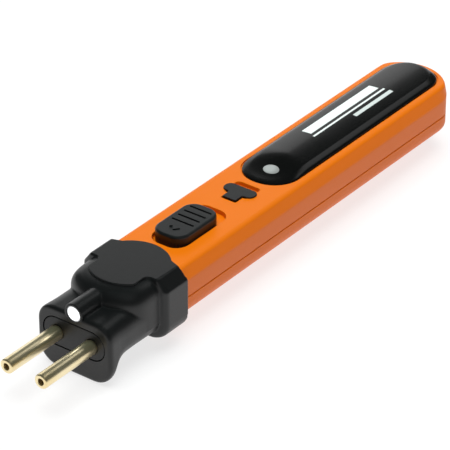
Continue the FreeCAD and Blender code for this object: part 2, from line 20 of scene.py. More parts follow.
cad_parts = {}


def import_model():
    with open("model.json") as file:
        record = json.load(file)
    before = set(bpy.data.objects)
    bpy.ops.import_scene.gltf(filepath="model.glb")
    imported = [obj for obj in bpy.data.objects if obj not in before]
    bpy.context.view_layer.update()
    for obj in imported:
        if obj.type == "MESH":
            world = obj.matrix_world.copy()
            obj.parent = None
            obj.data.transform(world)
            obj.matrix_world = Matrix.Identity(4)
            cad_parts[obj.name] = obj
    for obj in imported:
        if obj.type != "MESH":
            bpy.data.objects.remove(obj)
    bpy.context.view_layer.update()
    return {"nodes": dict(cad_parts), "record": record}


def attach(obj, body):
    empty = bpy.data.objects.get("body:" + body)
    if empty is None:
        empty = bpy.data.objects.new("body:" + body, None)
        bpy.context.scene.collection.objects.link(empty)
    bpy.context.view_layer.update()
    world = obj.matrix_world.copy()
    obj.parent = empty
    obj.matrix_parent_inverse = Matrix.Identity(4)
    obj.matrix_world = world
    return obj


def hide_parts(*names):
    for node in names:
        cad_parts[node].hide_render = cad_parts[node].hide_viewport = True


LOG = logging.getLogger("hot_stapler")

LENGTH = 227.6
MILLIMETRE = 0.001
CLEAR_ABOVE = 40.0  # higher than the tool, so that a cutter goes right through

Point = tuple[float, float]
Colour = tuple[float, float, float]
Number = Union[float, "Value"]


def at(station: float) -> float:
    """Return the Y coordinate, in mm, of a station measured from the pin tips."""
    return station - LENGTH / 2.0


class Run(Enum):
    """Direction in which an outline is run out to a solid."""

    ALONG = "y"
    UP = "z"


class Cut(Enum):
    """How one solid acts on another."""

    REMOVE = "DIFFERENCE"
    JOIN = "UNION"


@dataclass(frozen=True)
class Corner:
    """One corner of an outline: two coordinates and the radius that rounds it."""

    u: float
    v: float
    radius: float = 0.0


# --------------------------------------------------------------------------- mesh tools


def rounded(corners: Sequence[Corner], steps: int = 8) -> list[Point]:
    """Turn corners with radii into a closed outline.

    Args:
        corners: Corners in order round the outline.
        steps: Straight pieces in each rounded corner.

    Returns:
        Points round the outline, not repeated at the end.
    """
    points: list[Point] = []
    count = len(corners)
    for index, corner in enumerate(corners):
        here = Vector((corner.u, corner.v))
        if corner.radius <= 0:
            points.append((here.x, here.y))
            continue
        last = corners[index - 1]
        following = corners[(index + 1) % count]
        before = (Vector((last.u, last.v)) - here).normalized()
        after = (Vector((following.u, following.v)) - here).normalized()
        half = before.angle(after) / 2.0
        if half > math.radians(89.0):
            points.append((here.x, here.y))
            continue
        centre = here + (before + after).normalized() * (corner.radius / math.sin(half))
        first = here + before * (corner.radius / math.tan(half)) - centre
        final = here + after * (corner.radius / math.tan(half)) - centre
        turn = math.atan2(first.x * final.y - first.y * final.x, first.dot(final))
        for step in range(steps + 1):
            angle = turn * step / steps
            spoke = Matrix.Rotation(angle, 2) @ first
            points.append((centre.x + spoke.x, centre.y + spoke.y))
    return points


def softer_of(first: float, second: float, crispness: float) -> float:
    """Return the smaller of two positive lengths, blended where they are alike."""
    return (first ** -crispness + second ** -crispness) ** (-1.0 / crispness)


def mirrored(right_half: Sequence[Corner]) -> list[Corner]:
    """Return the right half of an outline followed by its mirror image about u = 0."""
    left = [Corner(-c.u, c.v, c.radius) for c in reversed(right_half)]
    return list(right_half) + left


@dataclass(frozen=True)
class Pad:
    """A rounded rectangle about x = 0 in plan, between two stations."""

    half: float
    front: float
    rear: float
    radius: float

    def outline(self, steps: int = 8) -> list[Point]:
        """Return the outline, with a number of straight pieces in each corner."""
        return rounded([Corner(-self.half, self.front, self.radius),
                        Corner(self.half, self.front, self.radius),
                        Corner(self.half, self.rear, self.radius),
                        Corner(-self.half, self.rear, self.radius)], steps)


def new_piece(name: str, work: bmesh.types.BMesh) -> bpy.types.Object:
    """Make an object from a bmesh, with its faces turned outwards."""
    bmesh.ops.recalc_face_normals(work, faces=work.faces)
    mesh = bpy.data.meshes.new(name)
    work.to_mesh(mesh)
    work.free()
    piece = bpy.data.objects.new(name, mesh)
    bpy.context.scene.collection.objects.link(piece)
    return piece


def loft(name: str, rings: Sequence[Sequence[Vector]], zipped: bool = False) -> bpy.types.Object:
    """Skin a row of rings that have the same number of points, and cap both ends.

    Args:
        name: Name of the new object.
        rings: The rings, first to last.
        zipped: Close the last ring with strips between mirrored points instead of one face;
            the ring then starts on the mirror line.

    Returns:
        The new solid.
    """
    work = bmesh.new()
    rows = [[work.verts.new(point) for point in ring] for ring in rings]
    count = len(rows[0])
    for low, high in zip(rows, rows[1:]):
        for index in range(count):
            other = (index + 1) % count
            work.faces.new((low[index], low[other], high[other], high[index]))
    work.faces.new(rows[0])
    if not zipped:
        work.faces.new(rows[-1])
        return new_piece(name, work)
    last = rows[-1]
    for index in range(count // 2):
        corners = []
        for vert in (last[index], last[index + 1], last[count - index - 1], last[-index % count]):
            if vert not in corners:
                corners.append(vert)
        if len(corners) > 2:
            work.faces.new(corners)
    return new_piece(name, work)


def prism(name: str, outline: Sequence[Point], run: Run, low: float,
          high: float) -> bpy.types.Object:
    """Run an outline straight out to a solid.

    Args:
        name: Name of the new object.
        outline: Points (x, z) for Run.ALONG or (x, station) for Run.UP.
        run: Direction of the run.
        low: Station or height where it starts.
        high: Station or height where it ends.

    Returns:
        The new object, in millimetres.
    """
    rings = []
    for level in (low, high):
        if run is Run.ALONG:
            rings.append([Vector((u, at(level), v)) for u, v in outline])
        else:
            rings.append([Vector((u, at(v), level)) for u, v in outline])
    return loft(name, rings)


def block(name: str, x: Point, stations: Point, z: Point) -> bpy.types.Object:
    """Make a box between two x, two stations and two heights."""
    outline = [(x[0], stations[0]), (x[1], stations[0]), (x[1], stations[1]), (x[0], stations[1])]
    return prism(name, outline, Run.UP, z[0], z[1])


def lathe(name: str, profile: Sequence[Point], place: Vector, run: Run,
          steps: int = 64) -> bpy.types.Object:
    """Turn a profile of (radius, distance) round an axis through a place.

    Args:
        name: Name of the new object.
        profile: Open profile whose two ends have radius zero.
        place: Point on the axis, in mm.
        run: Direction of the axis.
        steps: Faces round the axis.

    Returns:
        The closed turned solid.
    """
    work = bmesh.new()
    rows: list[list[bmesh.types.BMVert]] = []
    for radius, distance in profile:
        row = []
        for step in range(1 if radius < 1e-6 else steps):
            angle = 2 * math.pi * step / steps
            side_a = radius * math.cos(angle)
            side_b = radius * math.sin(angle)
            offset = Vector((side_a, distance, side_b))
            if run is Run.UP:
                offset = Vector((side_a, side_b, distance))
            row.append(work.verts.new(place + offset))
        rows.append(row)
    for low, high in zip(rows, rows[1:]):
        for index in range(steps):
            other = (index + 1) % steps
            corners = []
            for vert in (low[index % len(low)], low[other % len(low)],
                         high[other % len(high)], high[index % len(high)]):
                if vert not in corners:
                    corners.append(vert)
            if len(corners) > 2:
                work.faces.new(corners)
    return new_piece(name, work)


def bake_modifiers(piece: bpy.types.Object) -> None:
    """Replace a piece's mesh by the result of its modifiers and remove them."""
    graph = bpy.context.evaluated_depsgraph_get()
    graph.update()
    mesh = bpy.data.meshes.new_from_object(piece.evaluated_get(graph))
    piece.modifiers.clear()
    old = piece.data
    piece.data = mesh
    bpy.data.meshes.remove(old)


def combine(target: bpy.types.Object, tools: Iterable[bpy.types.Object], cut: Cut) -> None:
    """Let each tool solid act on the target in turn, and delete the tools."""
    for tool in tools:
        action = target.modifiers.new("combine", "BOOLEAN")
        action.operation = cut.value
        action.solver = "EXACT"
        action.object = tool
        bake_modifiers(target)
        bpy.data.objects.remove(tool)


def soften(piece: bpy.types.Object, width: float, steps: int,
           choose: Callable[[bmesh.types.BMEdge], bool]) -> None:
    """Round the chosen edges of a piece.

    Args:
        piece: Object to change.
        width: How far the rounding reaches from the edge, in mm.
        steps: Faces across the rounding.
        choose: Says whether an edge is rounded.
    """
    work = bmesh.new()
    work.from_mesh(piece.data)
    bmesh.ops.remove_doubles(work, verts=work.verts, dist=0.002)
    edges = [edge for edge in work.edges if edge.is_manifold and choose(edge)]
    bmesh.ops.bevel(work, geom=edges, offset=width, offset_type="OFFSET", segments=steps,
                    profile=0.5, affect="EDGES", clamp_overlap=True)
    work.to_mesh(piece.data)
    work.free()


def bends(edge: bmesh.types.BMEdge, degrees: float = 30.0) -> bool:
    """Say whether an edge turns by more than an angle."""
    return edge.calc_face_angle(0.0) > math.radians(degrees)


def middle(edge: bmesh.types.BMEdge) -> Vector:
    """Return the middle point of an edge."""
    return (edge.verts[0].co + edge.verts[1].co) / 2.0


def remesh(piece: bpy.types.Object, voxel: float, passes: int) -> None:
    """Melt joined solids into one skin with soft inside corners.

    Args:
        piece: Object to change.
        voxel: Size of the grid, in mm.
        passes: Smoothing passes after the remesh.
    """
    melt = piece.modifiers.new("melt", "REMESH")
    melt.mode = "VOXEL"
    melt.voxel_size = voxel
    relax = piece.modifiers.new("relax", "CORRECTIVE_SMOOTH")
    relax.factor = 0.5
    relax.iterations = passes
    relax.use_only_smooth = True
    bake_modifiers(piece)


def settle(piece: bpy.types.Object, material: bpy.types.Material, sharp: float = 40.0) -> None:
    """Bring a finished piece from millimetres to metres, dress it and smooth its shading.

    Args:
        piece: Finished object.
        material: Its finish.
        sharp: Edges that turn by more than this, in degrees, stay crisp.
    """
    work = bmesh.new()
    work.from_mesh(piece.data)
    bmesh.ops.remove_doubles(work, verts=work.verts, dist=0.002)
    bmesh.ops.dissolve_degenerate(work, dist=0.001, edges=work.edges)
    bmesh.ops.recalc_face_normals(work, faces=work.faces)
    work.to_mesh(piece.data)
    work.free()
    piece.data.transform(Matrix.Scale(MILLIMETRE, 4))
    piece.data.materials.clear()
    piece.data.materials.append(material)
    for face in piece.data.polygons:
        face.use_smooth = True
        face.material_index = 0
    piece.data.set_sharp_from_angle(angle=math.radians(sharp))
    steady = piece.modifiers.new("steady_normals", "WEIGHTED_NORMAL")
    steady.keep_sharp = True
    steady.weight = 60


# ------------------------------------------------------------------------- shader tools


class Value:
    """A number socket of a shader tree that can be used in Python arithmetic."""

    def __init__(self, tree: "Tree", socket: bpy.types.NodeSocket) -> None:
        """Wrap a socket of a tree."""
        self.tree = tree
        self.socket = socket

    def _with(self, operation: str, *others: Number) -> "Value":
        """Add a Math node that takes this value first."""
        return self.tree.maths(operation, self, *others)

    def __add__(self, other: Number) -> "Value":
        """Add."""
        return self._with("ADD", other)

    __radd__ = __add__

    def __mul__(self, other: Number) -> "Value":
        """Multiply."""
        return self._with("MULTIPLY", other)

    __rmul__ = __mul__

    def __sub__(self, other: Number) -> "Value":
        """Subtract."""
        return self._with("SUBTRACT", other)

    def __rsub__(self, other: Number) -> "Value":
        """Subtract this value from a number."""
        return self.tree.maths("SUBTRACT", other, self)

    def __truediv__(self, other: Number) -> "Value":
        """Divide."""
        return self._with("DIVIDE", other)

    def __rtruediv__(self, other: Number) -> "Value":
        """Divide a number by this value."""
        return self.tree.maths("DIVIDE", other, self)

    def __pow__(self, other: Number) -> "Value":
        """Raise to a power."""
        return self._with("POWER", other)

    def __neg__(self) -> "Value":
        """Change sign."""
        return self._with("MULTIPLY", -1.0)

    def __abs__(self) -> "Value":
        """Drop the sign."""
        return self._with("ABSOLUTE")

    def smaller(self, other: Number) -> "Value":
        """Return the smaller of two values."""
        return self._with("MINIMUM", other)

    def larger(self, other: Number) -> "Value":
        """Return the larger of two values."""
        return self._with("MAXIMUM", other)

    def ramp(self, low: float, high: float) -> "Value":
        """Rise smoothly from 0 at low to 1 at high."""
        part = ((self - low) / (high - low)).larger(0.0).smaller(1.0)
        return part * part * (3.0 - 2.0 * part)


class Tree:
    """A material's node tree, with one method that makes any node."""

    def __init__(self, name: str) -> None:
        """Start a new material with an empty tree."""
        self.material = bpy.data.materials.new(name)
        self.material.use_nodes = True
        self.nodes = self.material.node_tree.nodes
        self.links = self.material.node_tree.links
        self.nodes.clear()
        self.place = self.node("ShaderNodeTexCoord").outputs["Object"]

    def node(self, kind: str, settings: Optional[dict] = None,
             inputs: Optional[dict] = None) -> bpy.types.Node:
        """Make a node, set it up and feed it.

        Args:
            kind: The node's type.
            settings: Properties set first; "stops" holds a ramp's (position, colour) pairs.
            inputs: Values, sockets or Value objects by input name or number.

        Returns:
            The node.
        """
        made = self.nodes.new(kind)
        for name, setting in (settings or {}).items():
            if name == "stops":
                ramp = made.color_ramp
                for index, (position, colour) in enumerate(setting):
                    stop = ramp.elements[index] if index < 2 else ramp.elements.new(position)
                    stop.position = position
                    stop.color = (*colour, 1.0)
            else:
                setattr(made, name, setting)
        for name, given in (inputs or {}).items():
            socket = made.inputs[name]
            if isinstance(given, Value):
                self.links.new(given.socket, socket)
            elif isinstance(given, bpy.types.NodeSocket):
                self.links.new(given, socket)
            else:
                socket.default_value = given
        return made

    def maths(self, operation: str, *given: Number) -> Value:
        """Add a Math node on numbers and values."""
        made = self.node("ShaderNodeMath", {"operation": operation}, dict(enumerate(given)))
        return Value(self, made.outputs[0])

    def axes(self) -> tuple[Value, Value, Value]:
        """Return object coordinates x, y and z, in metres."""
        split = self.node("ShaderNodeSeparateXYZ", None, {0: self.place})
        return tuple(Value(self, split.outputs[index]) for index in range(3))

    def noise(self, scale: float, detail: float = 3.0, stretch: Colour = (1.0, 1.0, 1.0)) -> Value:
        """Return a noise value of a given number of cells in a metre."""
        mapping = self.node("ShaderNodeMapping", None, {"Vector": self.place, "Scale": stretch})
        made = self.node("ShaderNodeTexNoise", None,
                         {"Vector": mapping.outputs[0], "Scale": scale, "Detail": detail})
        return Value(self, made.outputs["Fac"])

    def blend(self, factor: Number, first: object, second: object) -> bpy.types.NodeSocket:
        """Mix two colours.

        Args:
            factor: 0 gives the first colour, 1 the second.
            first: A colour or a socket.
            second: A colour or a socket.

        Returns:
            The socket of the mixed colour.
        """
        made = self.node("ShaderNodeMix", {"data_type": "RGBA"}, {"Factor": factor})
        for socket, given in ((made.inputs[6], first), (made.inputs[7], second)):
            if isinstance(given, bpy.types.NodeSocket):
                self.links.new(given, socket)
            else:
                socket.default_value = (*given, 1.0)
        return made.outputs[2]

    def bump(self, height: Value, distance: float, strength: float = 1.0) -> bpy.types.NodeSocket:
        """Turn a height into a normal; distance is in metres."""
        made = self.node("ShaderNodeBump", None,
                         {"Height": height, "Distance": distance, "Strength": strength})
        return made.outputs[0]

    def surface(self, **inputs: object) -> bpy.types.Material:
        """Finish with a Principled shader.

        Args:
            **inputs: Values or sockets by input name, with underscores for spaces.

        Returns:
            The finished material.
        """
        named = {name.replace("_", " "): given for name, given in inputs.items()}
        if isinstance(named.get("Base Color"), tuple) and len(named["Base Color"]) == 3:
            named["Base Color"] = (*named["Base Color"], 1.0)
        if isinstance(named.get("Emission Color"), tuple) and len(named["Emission Color"]) == 3:
            named["Emission Color"] = (*named["Emission Color"], 1.0)
        shader = self.node("ShaderNodeBsdfPrincipled", None, named)
        self.node("ShaderNodeOutputMaterial", None, {"Surface": shader.outputs[0]})
        return self.material


# ------------------------------------------------------------------------------ finishes


@dataclass(frozen=True)
class MouldedPlastic:
    """Matte moulded plastic with a fine spark-eroded grain and faint flow marks."""

    name: str
    colour: Colour
    shade: Colour
    roughness: float = 0.5
    grain: float = 2600.0
    depth: float = 0.00002
    specular: float = 0.4

    def make(self) -> bpy.types.Material:
        """Build the material.

        Returns:
            The material.
        """
        tree = Tree(self.name)
        grain = tree.noise(self.grain, 4.0)
        pits = tree.noise(self.grain * 2.3, 2.0)
        flow = tree.noise(38.0, 3.0, (1.0, 0.25, 1.0))
        colour = tree.blend(flow.ramp(0.3, 0.75), self.colour, self.shade)
        rough = self.roughness + (grain - 0.5) * 0.16 + (flow - 0.5) * 0.08
        return tree.surface(Base_Color=colour, Roughness=rough, Specular_IOR_Level=self.specular,
                            Normal=tree.bump(grain * 0.65 + pits * 0.35, self.depth))


@dataclass(frozen=True)
class PolishedCover:
    """High-gloss black cover with plain printed stripes and faint polishing haze."""

    name: str
    colour: Colour = (0.003, 0.003, 0.003)
    ink: Colour = (0.90, 0.85, 0.86)

    def make(self) -> bpy.types.Material:
        """Build the material.

        Returns:
            The material.
        """
        tree = Tree(self.name)
        x, y, z = tree.axes()
        haze = tree.noise(90.0, 4.0)
        broad = self._bar(x, y, (-3.3, 2.0), (157.0, 198.5))
        thin = self._bar(x, y, (0.5, 0.4), (156.0, 199.5))
        short = self._bar(x, y, (3.3, 0.8), (177.0, 200.0))
        ink = broad.larger(thin).larger(short * 0.75)
        colour = tree.blend(ink, self.colour, self.ink)
        rough = 0.19 + haze * 0.05 + ink * 0.2
        ripple = tree.noise(24.0, 1.0)
        return tree.surface(Base_Color=colour, Roughness=rough, Specular_IOR_Level=0.22,
                            Coat_Weight=0.06, Coat_Roughness=0.05,
                            Normal=tree.bump(ripple, 0.00006, 0.5))

    def _bar(self, x: Value, y: Value, band: Point, reach: Point) -> Value:
        """Return a mask of one lengthwise stripe.

        Args:
            x: Object coordinate across the tool, in metres.
            y: Object coordinate along the tool, in metres.
            band: Centre and half width, in mm.
            reach: First and last station.

        Returns:
            1 on the stripe, 0 off it.
        """
        centre, half = band
        middle_y = at((reach[0] + reach[1]) / 2.0) * MILLIMETRE
        half_y = (reach[1] - reach[0]) / 2.0 * MILLIMETRE
        edge = 0.12 * MILLIMETRE
        across = abs(x - centre
                     * MILLIMETRE).ramp(half * MILLIMETRE - edge, half * MILLIMETRE + edge)
        along = abs(y - middle_y).ramp(half_y - edge, half_y + edge)
        return (1.0 - across) * (1.0 - along)


@dataclass(frozen=True)
class TurnedBrass:
    """Bright turned brass with fine rings and a heat tint towards the tip."""

    name: str
    colour: Colour = (0.96, 0.83, 0.54)
    tint: Colour = (0.84, 0.66, 0.34)

    def make(self) -> bpy.types.Material:
        """Build the material.

        Returns:
            The material.
        """
        tree = Tree(self.name)
        x, y, z = tree.axes()
        rings = tree.noise(900.0, 2.0, (0.05, 6.0, 0.05))
        stain = tree.noise(180.0, 4.0, (1.0, 0.4, 1.0))
        heat = 1.0 - (y - at(0) * MILLIMETRE).ramp(0.0, 0.006)
        colour = tree.blend((stain.ramp(0.45, 0.8) * 0.55 + heat * 0.35).smaller(1.0), self.colour,
                            self.tint)
        rough = 0.28 + rings * 0.03 + stain * 0.03
        return tree.surface(Base_Color=colour, Metallic=0.93, Roughness=rough,
                            Normal=tree.bump(rings, 0.000001))


@dataclass(frozen=True)
class PlatedMetal:
    """Plated or blackened metal with brushing marks."""

    name: str
    colour: Colour
    roughness: float = 0.3

    def make(self) -> bpy.types.Material:
        """Build the material."""
        tree = Tree(self.name)
        marks = tree.noise(1400.0, 3.0, (1.0, 0.08, 1.0))
        dirt = tree.noise(300.0, 4.0)
        dull = tuple(0.6 * part for part in self.colour)
        return tree.surface(Base_Color=tree.blend(dirt.ramp(0.5, 0.9), self.colour, dull),
                            Metallic=1.0,
                            Roughness=self.roughness + marks * 0.15,
                            Normal=tree.bump(marks, 0.00001))


@dataclass(frozen=True)
class SmoothPlastic:
    """Plain smooth plastic, wrap or wire sleeve with slight mottling."""

    name: str
    colour: Colour
    roughness: float = 0.3

    def make(self) -> bpy.types.Material:
        """Build the material."""
        tree = Tree(self.name)
        mottle = tree.noise(220.0, 4.0)
        shade = tuple(0.7 * part for part in self.colour)
        return tree.surface(Base_Color=tree.blend(mottle.ramp(0.35, 0.8), self.colour, shade),
                            Roughness=self.roughness + mottle * 0.1,
                            Normal=tree.bump(mottle, 0.00002))


@dataclass(frozen=True)
class GlowingLens:
    """Clear lens, lit from behind, brightest at its middle."""

    name: str
    colour: Colour
    glow: float
    centre: Point
    radius: float

    def make(self) -> bpy.types.Material:
        """Build the material.

        Returns:
            The material.
        """
        tree = Tree(self.name)
        x, y, z = tree.axes()
        off_x = x - self.centre[0] * MILLIMETRE
        off_z = z - self.centre[1] * MILLIMETRE
        reach = (off_x * off_x + off_z * off_z) ** 0.5
        core = 1.0 - reach.ramp(0.45 * self.radius * MILLIMETRE, self.radius * MILLIMETRE)
        haze = tree.noise(700.0, 2.0)
        light = tree.blend(core, tuple(0.12 * part for part in self.colour), (1.0, 1.0, 1.0))
        return tree.surface(Base_Color=self.colour, Roughness=0.12 + haze * 0.08,
                            Emission_Color=light, Emission_Strength=self.glow)


@dataclass(frozen=True)
class FrostedWindow:
    """Light grey frosted window with a paler middle."""

    name: str
    colour: Colour = (0.27, 0.245, 0.25)
    pale: Colour = (0.42, 0.385, 0.39)
    station: float = 130.9

    def make(self) -> bpy.types.Material:
        """Build the material.

        Returns:
            The material.
        """
        tree = Tree(self.name)
        x, y, z = tree.axes()
        off_y = y - at(self.station) * MILLIMETRE
        reach = (x * x + off_y * off_y) ** 0.5
        frost = tree.noise(2500.0, 3.0)
        colour = tree.blend(1.0 - reach.ramp(0.001, 0.0034), self.colour, self.pale)
        return tree.surface(Base_Color=colour, Roughness=0.32 + frost * 0.12,
                            Coat_Weight=0.3, Coat_Roughness=0.08,
                            Normal=tree.bump(frost, 0.00001))


@dataclass(frozen=True)
class CircuitBoardGreen:
    """Coated board with pale copper tracks under the coat."""

    name: str

    def make(self) -> bpy.types.Material:
        """Build the material."""
        tree = Tree(self.name)
        x, y, z = tree.axes()
        lanes = tree.maths("PINGPONG", x * 1000.0 + tree.noise(60.0, 0.0) * 4.0, 0.9)
        tracks = lanes.ramp(0.5, 0.62)
        return tree.surface(Base_Color=tree.blend(tracks, (0.01, 0.10, 0.035), (0.03, 0.22, 0.08)),
                            Roughness=0.35 + tracks * 0.05, Normal=tree.bump(tracks, 0.00003))


class Finish(Enum):
    """The finishes of the tool, named as the record's material slots are."""

    CASE_ORANGE = MouldedPlastic("case_orange", (0.81, 0.156, 0.002), (0.785, 0.149, 0.002), 0.46,
                                 2400.0, 0.000012, 0.28)
    HEAD_BLACK = MouldedPlastic("head_black", (0.0065, 0.0065, 0.0068), (0.0052, 0.0052, 0.0055),
                                0.38, 2200.0, 0.00002, 0.45)
    CARRIER_BLACK = MouldedPlastic("carrier_black", (0.006, 0.006, 0.0065), (0.005, 0.005, 0.0055),
                                   0.42)
    BUTTON_BLACK = MouldedPlastic("button_black", (0.008, 0.0085, 0.009), (0.0065, 0.007, 0.0075),
                                  0.38, 2600.0, 0.000018)
    PIN_BRASS = TurnedBrass("pin_brass")
    STEEL = PlatedMetal("steel", (0.62, 0.62, 0.61), 0.25)
    COPPER_STRIP = PlatedMetal("copper_strip", (0.78, 0.42, 0.28), 0.3)
    LAMP_CLEAR = GlowingLens("lamp_clear", (0.93, 0.95, 0.97), 3.0, (0.0, 23.1), 2.75)
    COVER_GLOSS = PolishedCover("cover_gloss")
    WINDOW_GREY = FrostedWindow("window_grey")
    GUIDE_CLEAR = SmoothPlastic("guide_clear", (0.8, 0.8, 0.82), 0.1)
    LED_WHITE = SmoothPlastic("led_white", (0.85, 0.85, 0.8), 0.4)
    SWITCH_WHITE = SmoothPlastic("switch_white", (0.8, 0.8, 0.78), 0.4)
    BOARD_GREEN = CircuitBoardGreen("board_green")
    CHIP_BLACK = SmoothPlastic("chip_black", (0.02, 0.02, 0.02), 0.5)
    CAPACITOR_SLEEVE = SmoothPlastic("capacitor_sleeve", (0.03, 0.05, 0.2), 0.25)
    CELL_WRAP = SmoothPlastic("cell_wrap", (0.05, 0.25, 0.5), 0.2)
    WIRE_RED = SmoothPlastic("wire_red", (0.6, 0.03, 0.02), 0.35)
    FOAM = SmoothPlastic("foam", (0.05, 0.05, 0.05), 0.85)
    SCREW_BLACK = PlatedMetal("screw_black", (0.10, 0.10, 0.105), 0.35)


class Wardrobe:
    """Makes each finish once and hands it out."""

    def __init__(self) -> None:
        """Start empty."""
        self.made: dict[Finish, bpy.types.Material] = {}

    def get(self, finish: Finish) -> bpy.types.Material:
        """Return the material of a finish."""
        if finish not in self.made:
            self.made[finish] = finish.value.make()
        return self.made[finish]

    def dress_node(self, node: bpy.types.Object, slot: str) -> None:
        """Give a CAD node the finish of its material slot."""
        material = self.get(Finish[slot.upper()])
        for index in range(max(1, len(node.material_slots))):
            if len(node.material_slots) == 0:
                node.data.materials.append(material)
            else:
                node.material_slots[index].material = material


def hand_over(piece: bpy.types.Object, wardrobe: Wardrobe, finish: Finish, body: str,
              nodes: Sequence[str], sharp: float = 40.0) -> None:
    """Settle a piece, tie it to its body and let it stand for its CAD nodes.

    Args:
        piece: The finished piece, in millimetres.
        wardrobe: Where its finish comes from.
        finish: Its finish, which also names its material slot.
        body: The body it rides on.
        nodes: The CAD nodes it stands for.
        sharp: Edges that bend by more degrees than this stay crisp.
    """
    settle(piece, wardrobe.get(finish), sharp)
    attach(piece, body)
    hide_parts(*nodes)
    LOG.info("%s: %d faces, rides on %s", piece.name, len(piece.data.polygons), body)


# ------------------------------------------------------------------------ geometry nodes


class NodeRow:
    """A Geometry Nodes tree that repeats a shape and ends in real, dressed mesh."""

    def __init__(self, name: str, material: bpy.types.Material) -> None:
        """Start a tree with a geometry input and output."""
        self.group = bpy.data.node_groups.new(name, "GeometryNodeTree")
        self.group.interface.new_socket("Geometry", in_out="INPUT",
                                        socket_type="NodeSocketGeometry")
        self.group.interface.new_socket("Geometry", in_out="OUTPUT",
                                        socket_type="NodeSocketGeometry")
        self.entry = self.add("NodeGroupInput")
        self.exit = self.add("NodeGroupOutput")
        self.material = material
        self.identifiers: dict[str, str] = {}

    def add(self, kind: str, settings: Optional[dict] = None, **inputs: object) -> bpy.types.Node:
        """Make a node, set it up and feed it.

        Args:
            kind: The node's type.
            settings: Properties that are set first.
            **inputs: Values or sockets by input name, with underscores for spaces.

        Returns:
            The new node.
        """
        made = self.group.nodes.new(kind)
        for name, setting in (settings or {}).items():
            setattr(made, name, setting)
        for name, given in inputs.items():
            socket = made.inputs[name.replace("_", " ")]
            if isinstance(given, bpy.types.NodeSocket):
                self.group.links.new(given, socket)
            else:
                socket.default_value = given
        return made

    def size(self, name: str, kind: str = "NodeSocketFloat") -> bpy.types.NodeSocket:
        """Add a named input and return its socket inside the tree."""
        made = self.group.interface.new_socket(name, in_out="INPUT", socket_type=kind)
        self.identifiers[name] = made.identifier
        return self.entry.outputs[name]

    def close(self, geometry: bpy.types.NodeSocket) -> None:
        """End the tree in Realize Instances and Set Material."""
        real = self.add("GeometryNodeRealizeInstances", Geometry=geometry)
        dressed = self.add("GeometryNodeSetMaterial", Geometry=real.outputs[0],
                           Material=self.material)
        self.group.links.new(dressed.outputs[0], self.exit.inputs[0])

    def run(self, piece: bpy.types.Object, sizes: dict[str, object]) -> None:
        """Run the tree on a piece with the given sizes and keep the result as its mesh."""
        modifier = piece.modifiers.new(self.group.name, "NODES")
        modifier.node_group = self.group
        for name, size in sizes.items():
            modifier[self.identifiers[name]] = size
        bake_modifiers(piece)
        bpy.data.node_groups.remove(self.group)


# ------------------------------------------------------------------------------ the case


